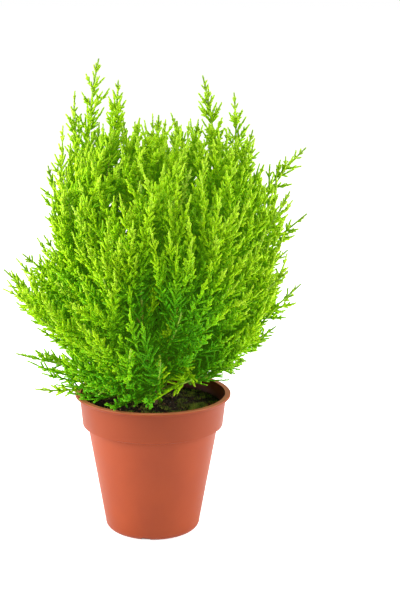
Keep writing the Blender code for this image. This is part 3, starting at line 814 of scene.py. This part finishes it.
def coneShape(sides, top):
    # one unit long and wide, standing on its foot
    bm = bmesh.new()
    size = {"radius1": 0.5, "radius2": top, "depth": 1}
    bmesh.ops.create_cone(bm, cap_ends=True, segments=sides, matrix=Matrix.Translation((0, 0, 0.5)), **size)
    bmesh.ops.remove_doubles(bm, verts=bm.verts, dist=1e-5)
    return shapeArrays(bm)


def copiesOf(shape, start, side, out, along, sizes, marks):
    # one copy of the shape at each start, with its sizes along side, out and along, and its place on the
    # colour map, where it covers a speck
    verts, faces = shape
    count = len(start)
    placed = np.repeat(start[:, None, :], len(verts), 1)
    for axis, way in enumerate((side, out, along)):
        placed += verts[None, :, axis:axis + 1] * (way * sizes[:, axis:axis + 1])[:, None, :]
    allFaces = faces[None] + (np.arange(count) * len(verts))[:, None, None]
    footprint = np.array([(-0.004, -0.004), (0.004, -0.004), (0.0, 0.005)])
    uv = np.clip(marks, 0.01, 0.99)[:, None, None, :] + footprint[None, None]
    uv = np.broadcast_to(uv, (count, len(faces), 3, 2))
    return placed.reshape(-1, 3), allFaces.reshape(-1, 3), uv.reshape(-1, 2)


def crownRadius(azimuth, height):
    heights, left, right = np.array(crownSet["outline"]).T
    toRight = (1 + np.cos(azimuth)) / 2
    return mix(np.interp(height, heights, left), np.interp(height, heights, right), toRight)


def openness(spots):
    # little in the shade near the axis, most at the outside of the crown and on the leaders above it, and
    # less than none in the hollows
    x, y, z = spots.T / mm
    reach = np.hypot(x, y) / crownRadius(np.arctan2(y, x), z)
    top, low, out = (crownSet[key] for key in ("top", "low", "out"))
    inner = np.maximum((reach - out[0]) / (out[1] - out[0]), (z - top[0]) / (top[1] - top[0]))
    lower = mix(crownSet["lowShare"], 1, np.clip((z - low[0]) / (low[1] - low[0]), 0, 1))
    deep = 1.0
    for middle, size, dark in crownSet["hollows"]:
        off = np.linalg.norm((spots / mm - np.array(middle)) / np.array(size), axis=-1)
        deep = deep * (dark + (1 - dark) * np.clip(off - crownSet["hollowFrom"], 0, 1))
    return np.clip(inner, 0, 1) * lower * deep * crownSet["most"] - crownSet["hollowDepth"] * (1 - deep)


def lightOn(axes):
    return np.maximum(axes["lit"], openness((axes["start"] + axes["end"]) / 2))


# painted shade: the green is darker where the light share is low, as well as where the piece is older
def greenMark(young, light, span):
    return markSet["green"] + span * young * mix(markSet["shade"], 1, light)


def stalksOn(axes, shape, rng, green):
    # the skin of each stretch: woody ones sit low on the colour map, green ones with the leaves
    run = axes["end"] - axes["start"]
    along = unit(run)
    side, out = crossFrame(along, rng.uniform(0, 3, len(run)))
    wide = 2 * axes["thick"]
    sizes = np.stack([wide, wide, np.linalg.norm(run, axis=1) * looseSet["overlap"]], 1)
    young = axes["young"].mean(1)
    if green:
        young = greenMark(young, lightOn(axes), markSet["twigSpan"])
    else:
        young = markSet["wood"] + markSet["woodSpan"] * young
    marks = np.stack([young, axes["tint"]], 1)
    return copiesOf(shape, axes["start"], side, out, along, sizes, marks)


def leavesOn(axes, shape, rng):
    # crossed pairs of scale leaves along each stretch
    run = axes["end"] - axes["start"]
    lengths = np.linalg.norm(run, axis=1)
    alongs = unit(run)
    light = lightOn(axes)
    full = np.clip(light * leafSet["fullFrom"], 0, 1)
    spacing = mix(leafSet["innerSpacing"], leafSet["spacing"], full) * mm
    counts = np.maximum(1, np.round(lengths / spacing)).astype(int)
    own = np.repeat(np.arange(len(run)), counts)
    k = np.arange(len(own)) - np.repeat(np.cumsum(counts) - counts, counts)
    share = (k + 0.6) / counts[own]
    spins = axes["spin"][own] + k * math.pi / 2
    own, share, spins = np.tile(own, 2), np.tile(share, 2), np.concatenate([spins, spins + math.pi])
    spins += rng.normal(0, leafSet["spinSpread"], len(own))
    along = alongs[own]
    outs, _ = crossFrame(along, spins)
    toTip = axes["left"][own] - share * lengths[own]
    last = np.clip(1 - toTip / (leafSet["tipLength"] * mm), 0, 1)
    tilt = leafSet["tilt"] * (1 - leafSet["tipTilt"] * last) + rng.normal(0, leafSet["tiltSpread"], len(own))
    tilt = np.radians(tilt)[:, None]
    way = along * np.cos(tilt) + outs * np.sin(tilt)
    side = unit(np.cross(way, along))
    out = np.cross(side, way)
    size = rng.uniform(*leafSet["sizes"], len(own)) * (1 - leafSet["tipSize"] * last) * mm
    sizes = np.stack([leafSet["width"] * size, leafSet["thick"] * size, leafSet["length"] * size], 1)
    foot = axes["start"][own] + run[own] * share[:, None]
    young = axes["young"][own, 0] + (axes["young"][own, 1] - axes["young"][own, 0]) * share
    young = greenMark(young, light[own], markSet["leafSpan"]) + rng.normal(0, markSet["young"], len(own))
    tint = axes["tint"][own] + rng.normal(0, markSet["tint"], len(own))
    return copiesOf(shape, foot, side, out, way, sizes, np.stack([young, tint], 1))


stalkShape = coneShape(5, 0.42)
twigShape = coneShape(3, 0.4)
leafShape = coneShape(3, 0)
twigCounts = {}


def findCrownTips():
    # evenly scattered over the crown and then inside it, away from the tips that the shoots already have
    c = crownSet
    rng = np.random.default_rng(c["seed"])
    low, high = c["outline"][0][0], c["outline"][-1][0]
    taken = [np.array(points[2]) / mm for points, *rest in grown.values()]
    found = []

    def offer(spot, spacing, fresh):
        if np.linalg.norm(np.array(taken) - spot, axis=1).min() > spacing:
            taken.append(spot)
            found.append((spot, fresh))

    for spire in c["spires"] + c["plumes"]:
        offer(np.array(around(*spire)), 0, 2.0)
    for spire in c["lowTips"]:
        offer(np.array(around(*spire)), 0, 1.0)
    for (inner, outer), spacing in c["shells"].values():
        for _ in range(c["tries"]):
            turn, height = rng.uniform(-math.pi, math.pi), rng.uniform(low, high)
            reach = crownRadius(turn, height) * rng.uniform(inner, outer)
            spot = np.array([reach * math.cos(turn), reach * math.sin(turn), height])
            h = c["hollow"]
            if spot[1] < 0 and h["x"][0] < spot[0] < h["x"][1] and h["z"][0] < height < h["z"][1]:
                spot[1] *= h["share"]
            offer(spot, spacing, outer)
    s = c["skirt"]
    for _ in range(c["tries"] // 4):
        spot = around(rng.uniform(*s["azimuth"]), rng.uniform(*s["reach"]), rng.uniform(*s["z"]))
        offer(np.array(spot), s["spacing"], 1.0)
    return found


def findLaterals():
    # each tip's lateral leaves the stem that lies best for it: well below and behind, at an acute angle
    c = lateralSet
    rng = np.random.default_rng(c["seed"])
    places, ways, owners, ages = [], [], [], []
    for name, (points, *rest) in grown.items():
        length = (points[2] - points[0]).length
        for i in range(c["first"], c["last"]):
            share = i / c["marks"]
            if length * (1 - share) < c["shortest"] * mm:
                continue
            places.append(onBow(points, share))
            ways.append((onBow(points, share + c["ahead"]) - onBow(points, share)).normalized())
            owners.append(name)
            ages.append(share)
    places, ways = np.array([tuple(p) for p in places]), np.array([tuple(w) for w in ways])
    used = np.zeros(len(places))
    laterals = {name: [] for name in grown}
    for spot, outer in findCrownTips():
        tip = spot * mm
        run = tip - places
        reach = np.linalg.norm(run, axis=1)
        angle = np.degrees(np.arccos(np.clip((run * ways).sum(1) / reach, -1, 1)))
        rise = run[:, 2] / reach
        cost = used + np.abs(reach / mm - c["length"]) / c["lengthMiss"]
        cost += np.abs(angle - c["angle"]) / c["angleMiss"] + np.maximum(0, c["rise"] - rise) * c["riseMiss"]
        best = int(np.argmin(cost))
        used += c["crowded"] * (np.linalg.norm(places - places[best], axis=1) < c["near"] * mm)
        bow = c["bow"] + rng.uniform(*c["bows"])
        points = bowPoints(Vector(places[best]), Vector(tip), bow, rng.uniform(-c["sweep"], c["sweep"]))
        line = [onBow(points, i / c["pieces"]) for i in range(c["pieces"] + 1)]
        base = mix(*c["age"], ages[best])
        young = (base, 1.0 if outer >= 1.0 else mix(base, 1, c["innerAge"]))
        tint = (c["litTint"] if outer == 2.0 else c["tint"]) + rng.normal(0, c["tintSpread"])
        made = lineAxes(line, c["radii"], young, tint, rng, float(outer == 2.0))
        if hasRoom(made["start"], made["end"]).all():
            laterals[owners[best]].append(made)
    for start, end, bow, sweep in crownSet["droops"]:
        points = bowPoints(Vector(start) * mm, Vector(end) * mm, bow, sweep)
        line = [onBow(points, i / c["droopPieces"]) for i in range(c["droopPieces"] + 1)]
        laterals["front_skirt"].append(lineAxes(line, c["radii"], c["droopAge"], c["droopTint"], rng, 1.0))
    return laterals


laterals = findLaterals()
print("laterals:", sum(len(made) for made in laterals.values()))


shootLook = {
    "step": 8, "samples": 12, "fewest": 6, "foot": 0.95, "tip": 0.7, "footAge": 0.12,
    "tint": 0.5, "tintSpread": 0.08,
    # its own twigs get shorter near its tip
    "twigRadii": (0.85, 0.6), "twigLift": 0.06, "twigFresh": 0.75, "tipLength": 16, "shortest": 0.35,
    "leafy": 0.75,  # share of the stem that carries leaves, from the tip
    "parentLength": 6, "parentLight": 0.12,  # what a spray needs to carry twigs of its own
    "seed": 900,
}


def growShoot(name, index):
    k = shootLook
    rng = np.random.default_rng(k["seed"] + index)
    points, centre, radii, twigs = grown[name]
    samples = [onBow(points, i / k["samples"]) for i in range(k["samples"] + 1)]
    rough = sum((b - a).length for a, b in zip(samples, samples[1:]))
    steps = max(k["fewest"], round(rough / (k["step"] * mm)))
    line = [centre.lerp(points[0], 0.5)] + [onBow(points, i / steps) for i in range(steps + 1)]
    tint = k["tint"] + rng.normal(0, k["tintSpread"])
    stem = lineAxes(line, (radii[0] * k["foot"] / mm, k["tip"]), (k["footAge"], 1.0), tint, rng)
    leafyStem = pick(stem, stem["left"] < (1 - growSet["bare"]) * stem["left"][0])
    own = []
    for share, run in twigs:
        foot = onBow(points, share)
        run = run * min(1.0, max(k["shortest"], (1 - share) * rough / (k["tipLength"] * mm)))
        twig = [foot, foot + run * 0.5, foot + run + up * (k["twigLift"] * run.length)]
        base = mix(k["footAge"], 1, share)
        made = lineAxes(twig, k["twigRadii"], (base, mix(base, 1, k["twigFresh"])), tint, rng)
        if hasRoom(made["start"], made["end"]).all():
            own.append(made)
    sprays = join([sideShoots(leafyStem, levelSet["spray"], rng)] + own)
    if laterals[name]:
        sprays = join([sprays, sideShoots(join(laterals[name]), levelSet["sprig"], rng)])
    light = np.maximum(sprays["lit"], openness(sprays["start"]))
    seen = (sprays["left"] > k["parentLength"] * mm) & (light > k["parentLight"])
    small = sideShoots(pick(sprays, seen), levelSet["twig"], rng)
    bare = stem["left"] >= k["leafy"] * stem["left"][0]
    leafy = join([pick(stem, ~bare)] + laterals[name] + [sprays, small])
    for key, value in (("sprays", sprays), ("twigs", small)):
        twigCounts[key] = twigCounts.get(key, 0) + len(value["left"])
    groups = [
        stalksOn(stem, stalkShape, rng, False),
        stalksOn(join(laterals[name] + [sprays, small]), twigShape, rng, True),
        leavesOn(leafy, leafShape, rng),
    ]
    return joinCopies(f"{name}_foliage", groups)


def joinCopies(name, groups):
    base = 0
    verts, faces, uvs = [], [], []
    for v, f, uv in groups:
        verts.append(v)
        faces.append(f + base)
        uvs.append(uv)
        base += len(v)
    verts, faces, uvs = np.concatenate(verts), np.concatenate(faces), np.concatenate(uvs)
    mesh = bpy.data.meshes.new(name)
    mesh.vertices.add(len(verts))
    mesh.vertices.foreach_set("co", verts.astype(np.float32).ravel())
    mesh.loops.add(faces.size)
    mesh.loops.foreach_set("vertex_index", faces.astype(np.int32).ravel())
    mesh.polygons.add(len(faces))
    mesh.polygons.foreach_set("loop_start", np.arange(0, faces.size, 3, dtype=np.int32))
    mesh.update(calc_edges=True)
    mesh.shade_smooth()
    layer = mesh.uv_layers.new(name="OFBake")
    layer.data.foreach_set("uv", uvs.astype(np.float32).ravel())
    return mesh


def cypressFoliage():
    # soft juvenile scale leaves: matt to silky, lime at the growing tips, deeper green where they are older
    # and as painted shade deep in the crown; the glow is painted light that stands in for light thin leaves
    # pass to each other
    stops = [
        (0.0, "#4E3A20"), (0.1, "#7A6A34"), (0.22, "#9CBC4E"), (0.3, "#123E08"),
        (0.45, "#46901C"), (0.65, "#7CB824"), (0.85, "#9AC42E"), (1.0, "#AAC84A"),
    ]
    material, tree, tinted, axes = mappedMaterial("lemon cypress scale leaves", stops, (0.75, 1.25), {
        "Roughness": 0.5, "IOR": 1.42, "Specular IOR Level": 0.15,
        "Subsurface Weight": 0.35, "Subsurface Radius": (0.8, 1.0, 0.25), "Subsurface Scale": 0.002,
        # painted light: a faint, even green glow on every leaf
        "Emission Color": srgb("#6AA81C"), "Emission Strength": 0.095,
    })
    tinted.inputs["Saturation"].default_value = 1.05
    hue = addNode(tree, "MapRange", values={3: 0.51, 4: 0.498}, links={0: axes[1]})
    tree.links.new(hue.outputs[0], tinted.inputs["Hue"])
    return material


foliage = cypressFoliage()
total = 0
for index, name in enumerate(shootSet):
    mesh = growShoot(name, index)
    total += len(mesh.polygons)
    addPiece(mesh.name, mesh, foliage, [name])
print("foliage made:", total, "triangles,", twigCounts)


# trunk: woody stem with flaking brown bark

trunkSet = {"sides": 20, "steps": 70, "ridges": 2.2, "knots": 60, "rough": 0.16, "smooth": 50}


def barkMaterial():
    # thin fibrous bark: matt, red-brown with a grey-green film
    material, tree, shader = startMaterial("cypress bark", {"Roughness": 0.85})
    place = addNode(tree, "TexCoord").outputs["Object"]
    long = addNode(tree, "Mapping", values={"Scale": (1, 1, 0.18)}, links={"Vector": place}).outputs[0]
    fibre = addNoise(tree, long, scale=900.0, detail=4.0)
    stops = [(0.3, "#3E2A18"), (0.55, "#6A4A2C"), (0.75, "#8A7048")]
    colour = addNode(tree, "ValToRGB", links={0: fibre}, stops=stops)
    tree.links.new(colour.outputs[0], shader.inputs["Base Color"])
    addBump(tree, shader, fibre, strength=0.6, depth=0.4)
    return material


def makeTrunk():
    # a ring drawn up along the trunk's centre line, ridged and knotty
    k = trunkSet
    bm = bmesh.new()
    bmesh.ops.create_circle(bm, cap_ends=True, segments=k["sides"], radius=1)
    foot = soilHeight - growSet["trunkDepth"] * mm
    top = soilHeight + growSet["trunkHeight"] * mm
    end = list(bm.faces)[0]
    rings = [list(end.verts)]
    for _ in range(k["steps"]):
        made = bmesh.ops.extrude_face_region(bm, geom=[end])["geom"]
        end = next(g for g in made if isinstance(g, bmesh.types.BMFace))
        rings.append(list(end.verts))
    for i, ring in enumerate(rings):
        height = mix(foot, top, i / k["steps"])
        centre = trunkCentre(height)
        for v in ring:
            turn = math.atan2(v.co.y, v.co.x)
            ridge = noise.noise(around(math.degrees(turn), k["ridges"], height * k["knots"]))
            radius = trunkRadius(height) * (1 + k["rough"] * ridge)
            v.co = centre + around(math.degrees(turn), radius, 0)
    bmesh.ops.recalc_face_normals(bm, faces=bm.faces)
    addPiece("woody_trunk", meshFrom(bm, "woody_trunk", k["smooth"]), barkMaterial(), ["trunk"])


makeTrunk()
print("trunk made")


# soil: peat with bark crumbs, a little perlite, and moss on top

soilSet = {
    "steps": 150, "rings": 44, "lumps": 0.8, "lumpSize": 4.5, "fine": 0.5, "fineSize": 1.7,
    # loose bits: how many, their size, their place on the colour map and how flat they are
    "bits": {
        "crumbs": (2600, (0.6, 2.0), (0.0, 0.6), (1, 1, 0.8)),
        "bark chips": (150, (2.0, 4.6), (0.45, 0.78), (1, 0.55, 0.35)),
        "perlite": (30, (0.6, 1.2), (0.86, 1.0), (1, 1, 1)),
    },
    "uneven": (0.6, 1.0), "edgeGap": 1.0, "trunkGap": 4.2, "seed": 31,
}
mossSet = {
    "mound": 1.5, "sink": 0.4, "edge": 0.35, "edgeWaves": 2.1,
    "blade": (1.0, 2.4), "bladeWidth": 0.45, "lean": 0.45, "blades": 2200,
    "film": 4200, "filmPatches": 9, "thinness": 0.02, "filmSeed": 41,
    "dryPatches": 5, "dryness": 0.7, "drySpread": 0.12,
    # azimuth in degrees, distance from the axis, length and width in mm
    "patches": {
        "moss_patch_right": (-18, 36, 26, 13), "moss_patch_front": (-62, 37, 22, 12),
        "moss_patch_back": (128, 34, 24, 14),
    },
}
soilSide = insetLine(wallLine(potSet), potSet["wall"] + clearance)
soilEdge = radiusAt(soilSide, soilHeight / mm)


def soilTop(x, y):
    # height of the soil's surface over a place in mm
    share = 1 - math.hypot(x, y) / soilEdge
    bump = noise.noise(Vector((x, y, soilHeight / mm)) / soilBumpSize) * soilBump
    lump = noise.noise(Vector((x, y, 3)) / soilSet["lumpSize"]) * soilSet["lumps"]
    fine = noise.noise(Vector((x, y, 9)) / soilSet["fineSize"]) * soilSet["fine"]
    return soilHeight / mm + soilMound * share + (bump + lump + fine) * min(1.0, 4 * share)


def pottingSoil():
    # damp peat: almost black, matt, with brown fibre showing where it is drier
    material, tree, shader = startMaterial("damp peat soil", {"Roughness": 0.95, "Specular IOR Level": 0.2})
    place = addNode(tree, "TexCoord").outputs["Object"]
    clumps = addNoise(tree, place, scale=260.0, detail=5.0)
    stops = [(0.3, "#120C07"), (0.5, "#21170E"), (0.68, "#3A2A18")]
    colour = addNode(tree, "ValToRGB", links={0: clumps}, stops=stops)
    tree.links.new(colour.outputs[0], shader.inputs["Base Color"])
    grain = addNoise(tree, place, scale=1100.0, detail=3.0)
    addBump(tree, shader, grain, strength=0.8, depth=0.5)
    return material


def crumbMaterial():
    # loose bits on the soil: peat and bark dark and matt, perlite chalky white
    stops = [
        (0.0, "#150E08"), (0.4, "#2E2013"), (0.62, "#54391F"),
        (0.75, "#7A5A38"), (0.86, "#8A8270"), (1.0, "#B4AE9E"),
    ]
    matt = {"Roughness": 0.9, "Specular IOR Level": 0.25}
    return mappedMaterial("peat, bark and perlite crumbs", stops, (0.7, 1.3), matt)[0]


def mossMaterial():
    # low cushion moss: velvety, olive to brown where it has dried
    stops = [(0.0, "#2C380E"), (0.35, "#566A20"), (0.7, "#8E9C38"), (1.0, "#A8924C")]
    return mappedMaterial("cushion moss", stops, (0.7, 1.3), {"Roughness": 0.9, "Specular IOR Level": 0.2})[0]


def makeSoil():
    k = soilSet
    rings = [(soilEdge * i / k["rings"], soilHeight / mm) for i in range(k["rings"] + 1)]
    bm = spun(rings + [(r, z) for r, z in soilSide if z < soilHeight / mm], k["steps"])
    for v in bm.verts:
        if v.co.z > soilHeight - 0.01 * mm:
            v.co.z = soilTop(v.co.x / mm, v.co.y / mm) * mm
    addPiece("potting_soil", meshFrom(bm, "potting_soil", 80), pottingSoil(), ["root_ball"])


def lumpShape():
    bm = bmesh.new()
    bmesh.ops.create_icosphere(bm, subdivisions=1, radius=0.5)
    return shapeArrays(bm)


def scatterOnSoil(count, rng, keep=None):
    found = []
    while len(found) < count:
        r, turn = soilEdge * math.sqrt(rng.random()), rng.uniform(0, 2 * math.pi)
        x, y = r * math.cos(turn), r * math.sin(turn)
        if soilSet["trunkGap"] < r < soilEdge - soilSet["edgeGap"] and (keep is None or keep(x, y)):
            found.append((x, y, soilTop(x, y)))
    return np.array(found) * mm


def turnedLumps(spots, sizes, kind, flat, rng):
    count = len(spots)
    along = unit(rng.normal(0, 1, (count, 3)) + np.array([0, 0, 1.0]))
    side, out = crossFrame(along, rng.uniform(0, 6, count))
    scale = sizes[:, None] * rng.uniform(*soilSet["uneven"], (count, 3)) * np.array(flat) * mm
    marks = np.stack([rng.uniform(*kind, count), rng.uniform(0, 1, count)], 1)
    return copiesOf(lumpShape(), spots, side, out, along, scale, marks)


def makeCrumbs():
    rng = np.random.default_rng(soilSet["seed"])
    groups = []
    for count, size, kind, flat in soilSet["bits"].values():
        spots = scatterOnSoil(count, rng)
        groups.append(turnedLumps(spots, rng.uniform(*size, count), kind, flat, rng))
    addPiece("soil_crumbs", joinCopies("soil_crumbs", groups), crumbMaterial())


def mossBlades(spots, rng):
    m = mossSet
    count = len(spots)
    along = unit(np.array([0, 0, 1.0]) + rng.normal(0, m["lean"], (count, 3)))
    side, out = crossFrame(along, rng.uniform(0, 6, count))
    tall = rng.uniform(*m["blade"], count)
    wide = np.full(count, m["bladeWidth"])
    dry = np.array([noise.noise(Vector(s) / (m["dryPatches"] * mm)) for s in spots])
    dry = 0.5 + m["dryness"] * dry + rng.normal(0, m["drySpread"], count)
    marks = np.stack([dry, rng.uniform(0, 1, count)], 1)
    return copiesOf(leafShape, spots, side, out, along, np.stack([wide, wide, tall], 1) * mm, marks)


def isMossy(x, y):
    return noise.noise(Vector((x, y, 0)) / mossSet["filmPatches"]) > mossSet["thinness"]


def makeMoss(material):
    m = mossSet
    for name, (azimuth, distance, length, width) in m["patches"].items():
        rng = np.random.default_rng(len(name) + int(azimuth) % 90)
        middle, along, out = around(azimuth, distance, 0), around(azimuth - 90, 1, 0), around(azimuth, 1, 0)
        spots = []
        while len(spots) < m["blades"]:
            a, b = rng.uniform(-1, 1, 2)
            edge = 1 + m["edge"] * noise.noise(Vector((m["edgeWaves"] * a, m["edgeWaves"] * b, azimuth)))
            if math.hypot(a, b) < edge:
                p = middle + along * (a * length / 2) + out * (b * width / 2)
                lift = m["mound"] * (1 - min(1, math.hypot(a, b))) ** 0.5
                spots.append((p.x, p.y, soilTop(p.x, p.y) + lift - m["sink"]))
        mesh = joinCopies(f"{name}_cushion", [mossBlades(np.array(spots) * mm, rng)])
        addPiece(mesh.name, mesh, material, [name])
    rng = np.random.default_rng(m["filmSeed"])
    mesh = joinCopies("moss_film", [mossBlades(scatterOnSoil(m["film"], rng, isMossy), rng)])
    addPiece(mesh.name, mesh, material)


makeSoil()
makeCrumbs()
makeMoss(mossMaterial())
print("soil and moss made")


# floor and light

lightSet = {
    # each pair: as it lights the plant, and as it is seen
    "floorGlow": (0.3, 0.75), "background": (0.34, 1.0),
    "softboxes": {  # place, size in m, power in W
        "left": ((-1.35, -0.25, 0.75), 1.1, 39),
        "right": ((1.4, 0.0, 0.6), 1.0, 30),
        "top": ((-0.2, 0.3, 1.7), 1.2, 20),
        "front": ((-0.5, -1.8, 1.2), 1.0, 1.5),
    },
    "aim": (0, 0, 0.2),
}


def seenOrNot(tree, pair, socket):
    # one value for the light it gives, another for how it looks itself
    seen = addNode(tree, "LightPath").outputs["Is Camera Ray"]
    amount = addNode(tree, "MapRange", values={3: pair[0], 4: pair[1]}, links={0: seen})
    tree.links.new(amount.outputs[0], socket)


def makeStage():
    # matt white paper, lit evenly enough to have no horizon
    bm = bmesh.new()
    bmesh.ops.create_grid(bm, x_segments=1, y_segments=1, size=12)
    mesh = meshFrom(bm, "floor")
    floor = addObject("floor", mesh)
    paper = {"Base Color": srgb("#E8E8E8"), "Roughness": 0.9, "Emission Color": (1, 1, 1, 1)}
    material, tree, shader = startMaterial("white paper floor", paper)
    seenOrNot(tree, lightSet["floorGlow"], shader.inputs["Emission Strength"])
    mesh.materials.append(material)


def makeLights():
    for name, (place, size, power) in lightSet["softboxes"].items():
        light = bpy.data.lights.new(f"{name} softbox", "AREA")
        light.size = size
        light.energy = power
        lamp = addObject(f"{name} softbox", light)
        lamp.location = place
        lamp.rotation_euler = (Vector(lightSet["aim"]) - Vector(place)).to_track_quat("-Z", "Y").to_euler()
    world = bpy.data.worlds.new("studio")
    world.use_nodes = True
    sky = world.node_tree.nodes["Background"]
    sky.inputs["Color"].default_value = (1, 1, 1, 1)
    seenOrNot(world.node_tree, lightSet["background"], sky.inputs["Strength"])
    bpy.context.scene.world = world
    bpy.context.scene.view_settings.view_transform = "Standard"


makeStage()
makeLights()
print("stage and lights set")
